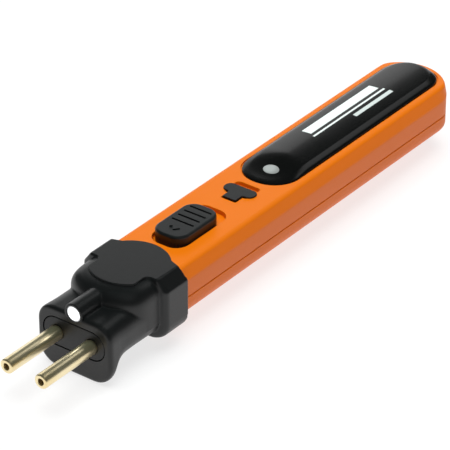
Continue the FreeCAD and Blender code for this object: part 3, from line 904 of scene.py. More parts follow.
@dataclass
class HandleCase:
    """The two orange halves of the handle."""

    wardrobe: Wardrobe
    start: float = 54.2
    half: float = 15.4
    top: float = 26.6
    bottom: float = 6.0
    top_half: float = 13.6
    shoulder: float = 21.9
    flare: float = 0.5
    crease: float = 2.0
    parting: float = 15.0
    seam: float = 0.3
    wall: float = 2.0
    rear_radius: float = 16.7
    rear_bilge: float = 5.5
    side_bilge: float = 7.0
    rear_lean: float = 0.45
    half_gap: float = 0.03
    slot: Pad = Pad(7.0, 71.2, 100.1, 5.0)
    slot_floor: float = 24.9
    lock_recess: Pad = Pad(4.9, 111.2, 119.4, 1.4)
    lock_stem_recess: Pad = Pad(3.1, 107.2, 114.0, 0.5)
    lock_floor: float = 25.1
    stem_way: Pad = Pad(2.2, 79.7, 92.5, 1.0)
    lock_way: Pad = Pad(1.8, 110.2, 116.9, 0.8)
    guide_bay: Pad = Pad(6.4, 128.0, 137.0, 2.0)
    cell_bay: Pad = Pad(6.4, 148.6, 217.0, 3.0)
    bay_floor: float = 20.0
    rim_round: float = 0.28
    boss_radius: float = 3.1
    well_radius: float = 2.5
    well_top: float = 9.6
    thread_radius: float = 1.3
    thread_top: float = 16.0

    def _level(self, half: float, rear_inset: float, height: float, start: float) -> list[Vector]:
        """Return the level outline of the handle at one height.

        Args:
            half: Half width at this height.
            rear_inset: How far the round rear end is set in.
            height: The height, in mm.
            start: Station of the straight front edge.

        Returns:
            Points round the outline.
        """
        centre = LENGTH - self.rear_radius
        points = [Vector((-half, at(start), height)), Vector((half, at(start), height))]
        steps = 64
        for step in range(steps + 1):
            angle = math.pi * step / steps
            side = max(abs(math.cos(angle)), 1e-6)
            reach = softer_of(self.rear_radius - rear_inset, half / side, 40.0)
            points.append(Vector((reach * math.cos(angle), at(centre + reach * math.sin(angle)),
                                  height)))
        return points

    def _upper_stack(self, name: str, profile: Sequence[Corner], wall: float) -> bpy.types.Object:
        """Skin the levels of the upper half; its rear leans less than its sides.

        Args:
            name: Name of the new object.
            profile: Half width and height of each corner, from the parting up.
            wall: How far the skin is set in; 0 gives the outside.

        Returns:
            The new solid.
        """
        rings = []
        for half, height in rounded(list(profile) + [Corner(0.0, 60.0)], 10)[:-1]:
            lean = (self.half - wall - half) * self.rear_lean
            rings.append(self._level(half, wall + max(lean, 0.0), height,
                                     self.start - (1.0 if wall else 0.0)))
        return loft(name, rings)

    def _lower_stack(self, name: str, wall: float, floor: float, high: float) -> bpy.types.Object:
        """Skin the levels of the lower half, round along its lower sides and rear.

        Args:
            name: Name of the new object.
            wall: How far the skin is set in; 0 gives the outside.
            floor: Height of the lowest level.
            high: Height of the parting.

        Returns:
            The new solid.
        """
        rings = []
        bilge = self.side_bilge - wall
        steps = 10
        for step in range(steps + 1):
            angle = math.pi / 2.0 * step / steps
            rise = bilge * (1.0 - math.cos(angle))
            half = self.half - 0.1 - wall - bilge * (1.0 - math.sin(angle))
            rear = self.rear_bilge - wall
            above = min(rise / rear, 1.0)
            rear_inset = rear * (1.0 - math.sqrt(1.0 - (1.0 - above) ** 2))
            rings.append(self._level(half, wall + rear_inset, floor + rise,
                                     self.start - (1.0 if wall else 0.0)))
        if wall:
            rings.append(self._level(self.half - wall, wall, high + 1.0, self.start - 1.0))
        else:
            rings.append(self._level(self.half, 0.0, high - self.seam, self.start))
            rings.append(self._level(self.half - 0.25, 0.25, high, self.start))
        return loft(name, rings)

    def build_upper(self) -> bpy.types.Object:
        """Shape the upper half with its slide slot, recess and bays.

        Returns:
            The new piece.
        """
        low = self.parting + self.half_gap
        shell = self._upper_stack("upper_shell", [
            Corner(self.half - 0.25, low), Corner(self.half, low + self.seam),
            Corner(self.half + self.flare, self.shoulder, 2.0),
            Corner(self.top_half, self.top, self.crease),
            Corner(self.top_half - 3.0, self.top)], 0.0)
        hollow = self._upper_stack("hollow", [
            Corner(self.half - self.wall, low - 1.0),
            Corner(self.half - self.wall, self.shoulder - 1.0, 2.0),
            Corner(self.top_half - 1.6, self.top - 3.2, 1.0),
            Corner(self.top_half - 4.0, self.top - 3.2)], self.wall)
        slot = prism("slot", self.slot.outline(), Run.UP, self.slot_floor, CLEAR_ABOVE)
        recess = prism("recess", self.lock_recess.outline(), Run.UP, self.lock_floor, CLEAR_ABOVE)
        stem = prism("stem", self.lock_stem_recess.outline(), Run.UP, self.lock_floor, CLEAR_ABOVE)
        cover = DomedCover(self.wardrobe)
        seat = prism("seat", cover.outline(-cover.gap), Run.UP, cover.seat, CLEAR_ABOVE)
        combine(shell, [hollow, slot, recess, stem, seat], Cut.REMOVE)

        def rims(edge: bmesh.types.BMEdge) -> bool:
            """Choose the rims of the slot and the recess."""
            flat = all(abs(vert.co.z - self.top) < 0.01 for vert in edge.verts)
            return flat and bends(edge, 60.0) and at(70.0) < middle(edge).y < at(121.0)

        soften(shell, self.rim_round, 2, rims)
        ways = [
            prism("stem_way", self.stem_way.outline(), Run.UP, self.bay_floor, 26.0),
            prism("lock_way", self.lock_way.outline(), Run.UP, self.bay_floor, 26.0),
            prism("guide_bay", self.guide_bay.outline(), Run.UP, self.bay_floor, CLEAR_ABOVE),
            prism("cell_bay", self.cell_bay.outline(), Run.UP, self.bay_floor, CLEAR_ABOVE),
            self._inlet(),
        ]
        combine(shell, ways, Cut.REMOVE)
        hand_over(shell, self.wardrobe, Finish.CASE_ORANGE, "casing", ["upper_case"])
        return shell

    def _inlet(self) -> bpy.types.Object:
        """Make the cutter of the charging inlet, which crosses the parting."""
        return block("inlet", (-4.7, 4.7), (220.0, LENGTH + 2.0), (12.75, 16.35))

    def build_lower(self) -> bpy.types.Object:
        """Shape the lower half with its screw wells.

        Returns:
            The new piece.
        """
        high = self.parting - self.half_gap
        shell = self._lower_stack("lower_shell", 0.0, self.bottom, high)
        hollow = self._lower_stack("hollow", self.wall, self.bottom + 1.7, high)
        combine(shell, [hollow, self._inlet()], Cut.REMOVE)
        for x, station in CaseScrews.places:
            place = Vector((x, at(station), 0.0))
            boss = lathe("boss",
                         [(0.0, 7.0), (self.boss_radius, 7.0), (self.boss_radius, high - 0.2),
                          (0.0, high - 0.2)],
                         place, Run.UP, 32)
            mouth = self.well_radius + 0.25
            well = lathe("well",
                         [(0.0, 4.0), (mouth, 4.0), (mouth, self.bottom),
                          (self.well_radius, self.bottom + 0.3),
                                  (self.well_radius, self.well_top),
                                  (self.thread_radius, self.well_top),
                                  (self.thread_radius, self.thread_top), (0.0, self.thread_top)],
                                  place, Run.UP, 32)
            combine(shell, [boss], Cut.JOIN)
            combine(shell, [well], Cut.REMOVE)
        hand_over(shell, self.wardrobe, Finish.CASE_ORANGE, "casing", ["lower_case"])
        return shell


@dataclass
class CaseScrews:
    """The screws that close the case from below."""

    wardrobe: Wardrobe
    places = ((0.0, 145.0), (8.0, 68.0), (-8.0, 68.0), (8.0, 219.5), (-8.0, 219.5))
    head_radius: float = 2.2
    head_top: float = 9.58
    head_height: float = 1.7
    shank_radius: float = 1.1
    shank_top: float = 20.0
    crown_share: float = 0.86
    crown_drop: float = 0.12
    recess_length: float = 2.8
    recess_width: float = 0.6
    recess_depth: float = 1.4

    def build(self) -> bpy.types.Object:
        """Repeat one screw at every place.

        Returns:
            The new piece.
        """
        material = self.wardrobe.get(Finish.SCREW_BLACK)
        row = NodeRow("screw_row", material)
        radius = row.size("Head radius")
        height = row.size("Head height")
        head = row.add("GeometryNodeMeshCylinder", {"fill_type": "NGON"}, Vertices=40,
                       Radius=radius, Depth=height)
        crown = row.add("GeometryNodeMeshCylinder", {"fill_type": "NGON"}, Vertices=40,
                        Radius=self.head_radius * self.crown_share,
                        Depth=self.head_height + 0.3)
        lifted = row.add("GeometryNodeTransform", Geometry=crown.outputs[0],
                         Translation=(0.0, 0.0, -self.crown_drop))
        shank_length = self.shank_top - self.head_top
        shank = row.add("GeometryNodeMeshCylinder", {"fill_type": "NGON"}, Vertices=24,
                        Radius=self.shank_radius,
                        Depth=shank_length)
        raised = row.add("GeometryNodeTransform", Geometry=shank.outputs[0],
                         Translation=(0.0, 0.0, (self.head_height + shank_length) / 2.0 - 0.1))
        bars = []
        for size in ((self.recess_length, self.recess_width, self.recess_depth),
                     (self.recess_width, self.recess_length, self.recess_depth)):
            bar = row.add("GeometryNodeMeshCube", Size=size)
            bars.append(row.add("GeometryNodeTransform", Geometry=bar.outputs[0],
                                Translation=(0.0, 0.0, -self.head_height / 2.0)).outputs[0])
        whole = row.add("GeometryNodeMeshBoolean", {"operation": "UNION", "solver": "EXACT"})
        for part in (head.outputs[0], lifted.outputs[0], raised.outputs[0]):
            row.group.links.new(part, whole.inputs["Mesh 2"])
        carved = row.add("GeometryNodeMeshBoolean", {"operation": "DIFFERENCE", "solver": "EXACT"})
        row.group.links.new(whole.outputs[0], carved.inputs["Mesh 1"])
        for part in bars:
            row.group.links.new(part, carved.inputs["Mesh 2"])
        points = row.add("GeometryNodeMeshToPoints", Mesh=row.entry.outputs["Geometry"])
        copies = row.add("GeometryNodeInstanceOnPoints", Points=points.outputs[0],
                         Instance=carved.outputs[0])
        row.close(copies.outputs[0])
        work = bmesh.new()
        level = self.head_top - self.head_height / 2.0
        for x, station in self.places:
            work.verts.new((x, at(station), level))
        screws = new_piece("closing_screws", work)
        row.run(screws, {"Head radius": self.head_radius, "Head height": self.head_height})
        hand_over(screws, self.wardrobe, Finish.SCREW_BLACK, "casing", ["case_screws"], 30.0)
        return screws


# ------------------------------------------------------------------------------ the head


@dataclass
class Head:
    """The black nose, foot, lamp tube, disc, skirt and collar."""

    wardrobe: Wardrobe
    nose_start: float = 25.0
    nose_half: float = 15.2
    nose_top: float = 22.5
    collar_start: float = 50.5
    collar_end: float = 62.5
    collar_half: float = 17.5
    plate_half: float = 14.0
    plate_top: float = 28.35
    disc_station: float = 54.0
    disc_radius: float = 13.7
    neck_half: float = 9.65
    rim: float = 0.58
    collar_bottom: float = 5.2
    collar_shoulder: float = 23.9
    collar_reach: float = 2.1
    collar_rounding: float = 2.4
    skirt_low: float = 22.0
    skirt_rise: float = 5.75
    skirt_radius: float = 19.6
    skirt_crispness: float = 14.0
    foot_rise: float = 7.0
    plate_bottom: float = 26.65
    plate_setback: float = 0.35
    rear_neck_half: float = 10.2
    lamp_height: float = 23.1
    tube_radius: float = 3.75
    tube_end: float = 17.5
    voxel: float = 0.3
    passes: int = 3

    def _nose(self) -> bpy.types.Object:
        """Loft the nose and its deep front foot.

        Returns:
            The new piece.
        """
        stations = [
            (25.0, 1.1, 0.0), (25.08, 0.72, 0.0), (25.32, 0.36, 0.0), (25.7, 0.1, 0.0),
            (26.2, 0.0, 0.0),
            (27.0, 0.0, 0.05), (27.7, 0.05, 0.35), (28.3, 0.1, 1.1), (28.9, 0.15, 2.3),
            (29.6, 0.2, 3.6),
            (30.6, 0.3, 4.9), (31.8, 0.35, 5.9), (33.2, 0.4, 6.6), (35.0, 0.4, 6.95),
            (40.0, 0.45, 7.0),
            (47.0, 0.3, 7.0), (53.0, 0.1, 7.0)]
        rings = []
        for station, inset, floor in stations:
            share = min(floor / self.foot_rise, 1.0)
            front = inset if station < 26.0 else 0.0
            half = self.nose_half - inset
            outline = rounded(mirrored([
                Corner(half, floor + front, 7.5 - 1.5 * share - front),
                Corner(half, self.nose_top - front, 6.2 - front)]), 10)
            rings.append([Vector((u, at(station), v)) for u, v in outline])
        return loft("head_shell", rings)

    def _collar(self) -> bpy.types.Object:
        """Loft the faceted collar: rounded front side edges, rear edge bowed back at the sides.

        Returns:
            The new piece.
        """
        rings = []
        for station in (50.5, 50.55, 50.7, 50.95, 51.3, 51.7, 52.1, 52.6, 65.0):
            short = min(max(self.collar_start + self.collar_reach - station,
                            0.0) / self.collar_reach, 1.0)
            side = self.collar_rounding * (1.0 - math.sqrt(1.0 - short ** 2))
            edge = 0.5 * max(0.0, 1.0 - (station - self.collar_start) / 0.45) ** 2
            low = self.collar_half - 0.1 - side
            high = self.collar_half - side
            top = self.plate_top - 0.1 - edge
            outline = rounded(mirrored([
                Corner(low, self.collar_bottom + edge, 5.6),
                Corner(high, self.collar_shoulder - edge, 0.9),
                Corner(self.plate_half - edge, top, 0.3)]), 6)
            rings.append([Vector((u, at(station), v)) for u, v in outline])
        collar = loft("collar", rings)
        bow = lathe("bow", [(0.0, -20.0), (100.0, -20.0), (100.0, 60.0), (0.0, 60.0)],
                    Vector((0.0, at(self.collar_end - 1.4) + 100.0, 0.0)), Run.UP, 360)
        combine(collar, [bow], Cut.REMOVE)
        return collar

    def _skirt(self) -> bpy.types.Object:
        """Loft the bulging shoulder from the disc down to the nose sides."""
        rings = [self._skirt_ring(1.0, 12.0)]
        steps = 10
        for step in range(steps + 1):
            angle = math.pi / 2.0 * (1.0 - step / steps)
            rings.append(self._skirt_ring(math.sin(angle),
                                          self.skirt_low + self.skirt_rise * math.cos(angle)))
        return loft("skirt", rings)

    def _skirt_ring(self, share: float, height: float) -> list[Vector]:
        """Return one level of the skirt.

        Args:
            share: 0 hugs the disc, 1 the nose sides.
            height: Height of the level.

        Returns:
            Points of the front half of the level.
        """
        points = []
        steps = 72
        for step in range(steps + 1):
            angle = math.pi + math.pi * step / steps
            side = max(abs(math.cos(angle)), 1e-6)
            inner = softer_of(self.disc_radius + 0.2, self.neck_half / side, self.skirt_crispness)
            outer = softer_of(self.skirt_radius, self.nose_half / side, self.skirt_crispness)
            reach = inner + (outer - inner) * share
            points.append(Vector((reach * math.cos(angle),
                                  at(self.disc_station) + reach * math.sin(angle), height)))
        return points

    def _plate(self) -> bpy.types.Object:
        """Cut the flat top plate: a disc, necked in front, as wide as the collar's top behind.

        Returns:
            The new piece.
        """
        radius = self.disc_radius
        right = []
        steps = 24
        first = math.asin(self.neck_half / radius)
        for step in range(steps - 2):
            angle = first * step / steps
            right.append(Corner(radius * math.sin(angle),
                                self.disc_station - radius * math.cos(angle)))
        right += [Corner(self.neck_half, self.disc_station - radius * math.cos(first), 1.2),
                  Corner(self.neck_half, self.collar_start + self.plate_setback, 1.9),
                  Corner(self.plate_half - self.plate_setback,
                         self.collar_start + self.plate_setback, 0.6),
                  Corner(self.plate_half - 0.1, self.collar_end - 0.6, 0.35)]
        last = math.asin(self.rear_neck_half / radius)
        right.append(Corner(self.rear_neck_half, self.disc_station + radius * math.cos(last), 1.5))
        for step in range(2, steps + 1):
            angle = last * (1.0 - step / steps)
            right.append(Corner(radius * math.sin(angle),
                                self.disc_station + radius * math.cos(angle)))
        left = [Corner(-corner.u, corner.v, corner.radius) for corner in reversed(right[1:-1])]
        plate = prism("plate", rounded(right + left, 5), Run.UP, self.plate_bottom, self.plate_top)
        soften(plate, self.rim, 3,
               lambda edge: bends(edge, 60.0) and middle(edge).z > self.plate_top - 0.01)
        return plate

    def _lamp_tube(self, front: float) -> bpy.types.Object:
        """Turn the lamp tube, starting a distance behind the nose's front."""
        wide = self.tube_radius
        profile = [(0.0, front), (wide - 0.35, front), (wide - 0.13, front + 0.1),
                   (wide, front + 0.4),
                   (wide, self.tube_end), (0.0, self.tube_end)]
        return lathe("lamp_tube", profile, Vector((0.0, at(self.nose_start), self.lamp_height)),
                     Run.ALONG, 64)

    def build(self) -> bpy.types.Object:
        """Join the shapes, melt their corners and cut the openings.

        Returns:
            The new piece.
        """
        head = self._nose()
        combine(head, [self._collar(), self._skirt(), self._lamp_tube(1.2)], Cut.JOIN)
        remesh(head, self.voxel, self.passes)
        combine(head, [self._plate(), self._lamp_tube(0.0)], Cut.JOIN)
        sleeve = prism("sleeve", rounded(mirrored([
            Corner(15.42, 5.9, 7.0), Corner(16.03, 22.0, 2.0), Corner(13.7, 26.66, 1.9)]), 6),
            Run.ALONG, 54.1, 72.0)
        cavity = prism("cavity",
                       rounded(mirrored([Corner(12.6, 8.7, 3.0), Corner(12.6, 19.2, 3.0)])),
                       Run.ALONG, 36.5, 55.0)
        pocket = prism("pocket", stadium_outline(0.28), Run.ALONG, 20.0, 37.0)
        axis = Vector((0.0, at(self.nose_start), self.lamp_height))
        bore = lathe("bore", [(0.0, -2.0), (2.95, -2.0), (2.9, 0.6), (2.62, 0.9), (2.62, 10.2),
                              (2.0, 10.2), (2.0, 31.0), (0.0, 31.0)],
                     axis, Run.ALONG, 48)
        combine(head, [sleeve, cavity, pocket, bore], Cut.REMOVE)
        hand_over(head, self.wardrobe, Finish.HEAD_BLACK, "casing", ["nose_housing"], 50.0)
        return head


def stadium_outline(grow: float) -> list[Point]:
    """Return the pin carrier's outline, grown by a gap."""
    half = 12.6 + grow
    low = 8.6 - grow
    high = 19.1 + grow
    radius = (high - low) / 2.0 - 0.05
    return rounded(mirrored([Corner(half, low, radius), Corner(half, high, radius)]), 16)


@dataclass
class ContactEnd:
    """The pin carrier, the two brass pins and the lamp."""

    wardrobe: Wardrobe
    pitch: float = 14.2
    height: float = 13.5
    radius: float = 2.6
    bore: float = 1.15
    bore_depth: float = 9.0
    root_radius: float = 2.3
    root_start: float = 24.8
    root_end: float = 37.6
    stud_radius: float = 1.5
    stud_end: float = 45.0
    lens_radius: float = 2.82
    lens_front: float = 0.15
    lamp_radius: float = 2.5
    lamp_height: float = 23.1

    def build_carrier(self) -> bpy.types.Object:
        """Shape the carrier with a dished seat round each pin.

        Returns:
            The new piece.
        """
        carrier = prism("pin_holder", stadium_outline(0.0), Run.ALONG, 25.05, 37.0)
        soften(carrier, 0.35, 3, lambda edge: bends(edge, 60.0) and middle(edge).y < at(26.0))
        for side in (-1, 1):
            place = Vector((side * self.pitch / 2.0, at(25.0), self.height))
            seat = lathe("seat",
                         [(0.0, -2.0), (3.0, -2.0), (3.0, 0.1), (2.36, 0.5), (2.36, 13.0),
                          (0.0, 13.0)],
                         place, Run.ALONG, 48)
            combine(carrier, [seat], Cut.REMOVE)
        hand_over(carrier, self.wardrobe, Finish.CARRIER_BLACK, "casing", ["pin_carrier"])
        return carrier

    def build_pin(self, side: int) -> bpy.types.Object:
        """Turn one hollow pin.

        Args:
            side: -1 for the left pin, 1 for the right one.

        Returns:
            The finished pin.
        """
        word = "left" if side < 0 else "right"
        r = self.radius
        profile = [(0.0, self.bore_depth), (self.bore * 0.7, self.bore_depth - 0.1),
                   (self.bore, self.bore_depth - 0.5),
                   (self.bore, 0.35), (self.bore + 0.1, 0.1), (self.bore + 0.3, 0.0),
                   (r - 0.62, 0.0), (r - 0.42, 0.04), (r - 0.2, 0.16), (r - 0.06, 0.36), (r, 0.62),
                   (r, self.root_start - 0.3), (self.root_radius, self.root_start),
                   (self.root_radius, self.root_end),
                   (self.stud_radius, self.root_end), (self.stud_radius, self.stud_end - 0.2),
                   (self.stud_radius - 0.2, self.stud_end), (0.0, self.stud_end)]
        pin = lathe("brass_pin_" + word, profile,
                    Vector((side * self.pitch / 2.0, at(0.0), self.height)), Run.ALONG, 72)
        hand_over(pin, self.wardrobe, Finish.PIN_BRASS, "casing", ["contact_pin_" + word], 60.0)
        return pin

    def build_lamp(self) -> bpy.types.Object:
        """Turn the domed lamp.

        Returns:
            The new piece.
        """
        profile = [(0.0, self.lens_front)]
        steps = 8
        for step in range(1, steps + 1):
            angle = math.pi / 2.0 * step / steps
            profile.append((self.lens_radius * math.sin(angle),
                            self.lens_front + 0.4 * (1.0 - math.cos(angle))))
        profile += [(self.lens_radius, 0.6), (self.lamp_radius, 0.9), (self.lamp_radius, 9.0),
                    (0.0, 9.0)]
        lamp = lathe("work_lamp", profile, Vector((0.0, at(25.0), self.lamp_height)), Run.ALONG, 48)
        hand_over(lamp, self.wardrobe, Finish.LAMP_CLEAR, "casing", ["torch_lamp"], 60.0)
        return lamp


# ---------------------------------------------------------------------- cover and slides


@dataclass
class DomedCover:
    """The glossy cover and its status window."""

    wardrobe: Wardrobe
    half: float = 10.8
    front: float = 122.5
    rear: float = 224.3
    slope_rear: float = 141.0
    lip: float = 0.5
    base: float = 26.55
    edge_rise: float = 1.35
    edge_reach: float = 2.4
    crown: float = 1.3
    window_station: float = 130.9
    window_x: float = 0.6
    window_half_x: float = 3.0
    window_half_y: float = 2.35
    ends: int = 20
    sides: int = 24
    front_depth: float = 10.7
    front_power: float = 2.08
    rear_depth: float = 10.5
    rear_power: float = 2.5
    side_spacing: float = 1.7
    slope_power: float = 1.6
    gap: float = 0.45
    seat: float = 26.0

    def outline(self, inset: float) -> list[Point]:
        """Return the cover's plan outline, from the middle of its rear.

        Args:
            inset: How far the outline is set in; negative values grow it.

        Returns:
            Points round the outline, as (x, station).
        """
        centre = (self.front + self.rear) / 2.0
        narrow = (self.half - inset) / self.half
        short = (self.rear - centre - inset) / (self.rear - centre)
        quarter = [math.pi / 2.0 * step / self.ends for step in range(self.ends + 1)]
        left = []
        bend = 2.0 / self.rear_power
        for angle in quarter:
            depth = self.rear_depth * (1.0 - max(math.cos(angle), 0.0) ** bend)
            left.append((-self.half * math.sin(angle) ** bend, self.rear - depth))
        first = self.rear - self.rear_depth
        last = self.front + self.front_depth
        for step in range(1, self.sides):
            share = 1.0 - (1.0 - step / self.sides) ** self.side_spacing
            left.append((-self.half, first + (last - first) * share))
        bend = 2.0 / self.front_power
        for angle in quarter:
            depth = self.front_depth * (1.0 - math.sin(angle) ** bend)
            left.append((-self.half * max(math.cos(angle), 0.0) ** bend, self.front + depth))
        ring = left + [(-u, v) for u, v in reversed(left[1:-1])]
        return [(u * narrow, centre + (v - centre) * short) for u, v in ring]

    def height(self, x: float, station: float, inset: float) -> float:
        """Return the height of the cover's skin, which falls off towards the front.

        Args:
            x: Distance from the middle line.
            station: Distance behind the pin tips.
            inset: Distance in from the cover's edge.

        Returns:
            The height, in mm.
        """
        share = min(inset / self.edge_reach, 1.0)
        edge = math.sqrt(max(0.0, 1.0 - (1.0 - share) ** 2))
        along = min(max((station - self.front) / (self.slope_rear - self.front), 0.0), 1.0)
        slope = (along * along * (3.0 - 2.0 * along)) ** self.slope_power
        full = self.edge_rise + self.crown * (1.0 - (x / self.half) ** 2) * share
        return self.base + edge * (self.lip + (full - self.lip) * slope)

    def build(self) -> bpy.types.Object:
        """Skin the dome from nested outlines."""
        insets = [0.0, 0.04, 0.14, 0.32, 0.6, 1.0, 1.5, 2.0, 2.4, 3.2, 4.2, 5.4, 6.8, 8.2, 9.6,
                  10.5]
        rings = [[Vector((u, at(v), self.seat + 0.02)) for u, v in self.outline(0.0)]]
        for inset in insets:
            rings.append([Vector((u, at(v), self.height(u, v, inset))) for u,
                          v in self.outline(inset)])
        cover = loft("domed_cover", rings, zipped=True)
        hand_over(cover, self.wardrobe, Finish.COVER_GLOSS, "casing", ["top_cover"], 70.0)
        return cover

    def build_window(self) -> bpy.types.Object:
        """Lay the oval window on the dome.

        Returns:
            The new piece.
        """
        steps = 40
        rings = []
        for share, lift in ((1.0, -0.5), (1.0, 0.0), (0.96, 0.06), (0.85, 0.1), (0.6, 0.14),
                            (0.3, 0.16), (0.08, 0.16)):
            ring = []
            for step in range(steps):
                angle = 2 * math.pi * step / steps
                x = self.window_x + self.window_half_x * share * math.cos(angle)
                station = self.window_station + self.window_half_y * share * math.sin(angle)
                inset = min(station - self.front, self.half - abs(x))
                ring.append(Vector((x, at(station), self.height(x, station, inset) + lift)))
            rings.append(ring)
        window = loft("oval_window", rings)
        hand_over(window, self.wardrobe, Finish.WINDOW_GREY, "casing", ["status_window"], 60.0)
        return window


@dataclass
class ThumbSlide:
    """The ribbed power slide with its arrow."""

    wardrobe: Wardrobe
    floor: float = 25.15
    top: float = 29.8
    half: float = 6.6
    front: float = 72.6
    rear: float = 95.3
    corner: float = 4.8
    round_over: float = 0.9
    groove_first: float = 82.3
    groove_pitch: float = 3.25
    groove_count: int = 4
    groove_half: float = 4.6
    groove_width: float = 0.85
    groove_depth: float = 0.65
    arrow_depth: float = 0.4

    def _pad(self, name: str) -> bpy.types.Object:
        """Loft a pad whose top edge is rounded over.

        Args:
            name: Name of the new object.

        Returns:
            The new solid.
        """
        rings = [[Vector((u, at(v), self.floor)) for u, v in self._inset(0.0)]]
        steps = 8
        for step in range(steps + 1):
            angle = math.pi / 2.0 * step / steps
            inset = self.round_over * (1.0 - math.cos(angle))
            level = self.top - self.round_over * (1.0 - math.sin(angle))
            rings.append([Vector((u, at(v), level)) for u, v in self._inset(inset)])
        return loft(name, rings)

    def _inset(self, inset: float) -> list[Point]:
        """Return the slide's plan outline, set in by a distance."""
        return Pad(self.half - inset, self.front + inset, self.rear - inset,
                   self.corner - inset).outline(10)

    def _grooves(self) -> bpy.types.Object:
        """Repeat one groove cutter along the slide.

        Returns:
            The new piece.
        """
        outline = Pad(self.groove_half, self.groove_first - self.groove_width / 2.0,
                      self.groove_first + self.groove_width / 2.0,
                      self.groove_width * 0.45).outline(4)
        cutter = prism("groove_row", outline, Run.UP, self.top - self.groove_depth, self.top + 1.0)
        row = NodeRow("groove_row", self.wardrobe.get(Finish.BUTTON_BLACK))
        count = row.size("Count", "NodeSocketInt")
        pitch = row.size("Pitch")
        offset = row.add("ShaderNodeCombineXYZ", Y=pitch)
        line = row.add("GeometryNodeMeshLine", {"mode": "OFFSET"}, Count=count,
                       Offset=offset.outputs[0])
        copies = row.add("GeometryNodeInstanceOnPoints", Points=line.outputs[0],
                         Instance=row.entry.outputs["Geometry"])
        row.close(copies.outputs[0])
        row.run(cutter, {"Count": self.groove_count, "Pitch": self.groove_pitch})
        return cutter

    def build(self) -> bpy.types.Object:
        """Shape the pad, then cut the grooves and the arrow.

        Returns:
            The new piece.
        """
        slide = self._pad("thumb_slide")
        combine(slide, [block("stem", (-1.9, 1.9), (80.0, 87.6), (21.6, self.floor + 0.6))],
                Cut.JOIN)
        arrow = prism("arrow",
                      [(0.0, 75.2), (2.3, 78.0), (1.5, 78.7), (0.0, 76.9), (-1.5, 78.7),
                       (-2.3, 78.0)],
                      Run.UP, self.top - self.arrow_depth, self.top + 1.0)
        socket = block("socket", (-1.3, 1.3), (82.4, 85.6), (21.0, 24.1))
        combine(slide, [self._grooves(), arrow, socket], Cut.REMOVE)
        hand_over(slide, self.wardrobe, Finish.BUTTON_BLACK, "power_slide", ["power_slide_button"],
                  38.0)
        return slide


@dataclass
class LockSlide:
    """The T-shaped slide."""

    wardrobe: Wardrobe
    floor: float = 25.3
    wing_underside: float = 26.68
    top: float = 27.1
    stem_half: float = 2.8
    wing_half: float = 6.4
    front: float = 107.5
    shoulder: float = 111.5
    rear: float = 116.5
    wing_corner: float = 2.3
    core: Pad = Pad(4.6, 111.5, 116.6, 1.0)
    stem: Pad = Pad(2.75, 107.55, 113.0, 0.45)

    def build(self) -> bpy.types.Object:
        """Cut the T from a plate and round its top edge.

        Returns:
            The new piece.
        """
        right = [Corner(self.stem_half, self.front, 0.5),
                 Corner(self.stem_half, self.shoulder, 0.9),
                 Corner(self.wing_half, self.shoulder, self.wing_corner),
                 Corner(self.wing_half, self.rear, self.wing_corner)]
        left = [Corner(-corner.u, corner.v, corner.radius) for corner in reversed(right)]
        tee = rounded([left[-1]] + right + left[:-1], 8)
        slide = prism("lock_tee", tee, Run.UP, self.wing_underside, self.top)
        soften(slide, 0.2, 3, lambda edge: bends(edge, 60.0) and middle(edge).z > self.top - 0.01)
        core = prism("core", self.core.outline(), Run.UP, self.floor, self.top - 0.25)
        stem = prism("stem", self.stem.outline(), Run.UP, self.floor, self.top - 0.25)
        combine(slide, [core, stem], Cut.JOIN)
        tongue = block("tongue", (-1.5, 1.5), (110.5, 114.0), (21.6, self.floor + 0.3))
        combine(slide, [tongue], Cut.JOIN)
        combine(slide, [block("socket", (-0.9, 0.9), (111.3, 113.3), (21.0, 23.8))], Cut.REMOVE)
        hand_over(slide, self.wardrobe, Finish.BUTTON_BLACK, "lock_slide", ["lock_slide_button"],
                  38.0)
        return slide


# ------------------------------------------------------------------------------ the stage


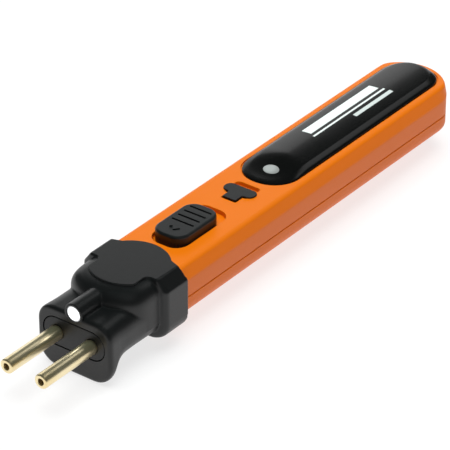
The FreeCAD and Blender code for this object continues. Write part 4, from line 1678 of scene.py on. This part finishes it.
@dataclass
class Stage:
    """Floor, light and camera."""

    target: Vector
    camera_place: Vector
    lens: float = 236.0
    floor_reach: float = 4.0
    floor_drop: float = 0.0002
    floor_glow: float = 0.75
    sky: float = 0.04

    def build(self) -> None:
        """Set up the whole stage."""
        self._floor()
        self._lights()
        self._camera()

    def _floor(self) -> None:
        """Lay a plain pale floor just under the lowest point."""
        work = bmesh.new()
        reach = self.floor_reach
        work.faces.new([work.verts.new((x, y, -self.floor_drop)) for x, y in
                        ((-reach, -reach), (reach, -reach), (reach, reach), (-reach, reach))])
        floor = new_piece("pale_floor", work)
        tree = Tree("pale_floor")
        tone = tree.noise(3.0, 2.0)
        pale = tree.blend(tone, (0.26, 0.22, 0.23), (0.27, 0.23, 0.24))
        floor.data.materials.append(tree.surface(
            Base_Color=pale, Roughness=0.9, Specular_IOR_Level=0.1,
            Emission_Color=(1.0, 1.0, 1.0), Emission_Strength=self.floor_glow))

    def _area(self, name: str, place: Vector, size: Point, power: float,
              tint: Colour = (1.0, 1.0, 1.0)) -> None:
        """Hang a rectangular soft light that faces the tool.

        Args:
            name: Name of the light.
            place: Where it hangs, in metres.
            size: Its two sides, in metres.
            power: Its power, in watts.
            tint: Its colour.
        """
        light = bpy.data.lights.new(name, "AREA")
        light.shape = "RECTANGLE"
        light.size, light.size_y = size
        light.energy = power
        light.color = tint
        lamp = bpy.data.objects.new(name, light)
        lamp.location = place
        lamp.rotation_euler = (self.target - place).to_track_quat("-Z", "Y").to_euler()
        bpy.context.scene.collection.objects.link(lamp)

    def _lights(self) -> None:
        """Hang the soft lights and set the sky."""
        overhead = bpy.data.lights.new("overhead", "SUN")
        overhead.energy = 3.7
        overhead.color = (0.86, 1.05, 1.0)
        overhead.angle = math.radians(55.0)
        sun = bpy.data.objects.new("overhead", overhead)
        sun.visible_glossy = False
        bpy.context.scene.collection.objects.link(sun)
        self._area("rim_light", Vector((0.5, -0.5, 1.1)), (1.0, 1.0), 0.7)
        self._area("back_light", Vector((0.145, 1.03, 1.08)), (0.6, 0.45), 1.0)
        self._area("back_left_light", Vector((-0.95, 1.04, 0.45)), (1.7, 0.7), 4.6)
        world = bpy.data.worlds.new("studio")
        world.use_nodes = True
        world.node_tree.nodes["Background"].inputs[0].default_value = (1.0, 1.0, 1.0, 1.0)
        world.node_tree.nodes["Background"].inputs[1].default_value = self.sky
        bpy.context.scene.world = world
        bpy.context.scene.view_settings.view_transform = "Standard"

    def _camera(self) -> None:
        """Aim a long lens from the front right."""
        lens = bpy.data.cameras.new("camera")
        lens.lens = self.lens
        lens.sensor_width = 36.0
        lens.clip_end = 20.0
        camera = bpy.data.objects.new("camera", lens)
        camera.location = self.camera_place
        camera.rotation_euler = (self.target
                                 - self.camera_place).to_track_quat("-Z", "Y").to_euler()
        bpy.context.scene.collection.objects.link(camera)
        bpy.context.scene.camera = camera


def main() -> None:
    """Load the frame, build every piece in order and set the stage."""
    logging.basicConfig(level=logging.INFO, format="%(name)s: %(message)s")
    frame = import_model()
    wardrobe = Wardrobe()
    slots = {part["node"]: part["material_slot"] for part in frame["record"]["subparts"]}
    for name, node in frame["nodes"].items():
        wardrobe.dress_node(node, slots[name])
    case = HandleCase(wardrobe)
    case.build_upper()
    case.build_lower()
    CaseScrews(wardrobe).build()
    Head(wardrobe).build()
    contacts = ContactEnd(wardrobe)
    contacts.build_carrier()
    contacts.build_pin(-1)
    contacts.build_pin(1)
    contacts.build_lamp()
    cover = DomedCover(wardrobe)
    cover.build()
    cover.build_window()
    ThumbSlide(wardrobe).build()
    LockSlide(wardrobe).build()
    Stage(Vector((0.0, -0.0083, 0.0174)), Vector((0.5144, -0.6894, 0.5371))).build()


if __name__ == "__main__":
    main()
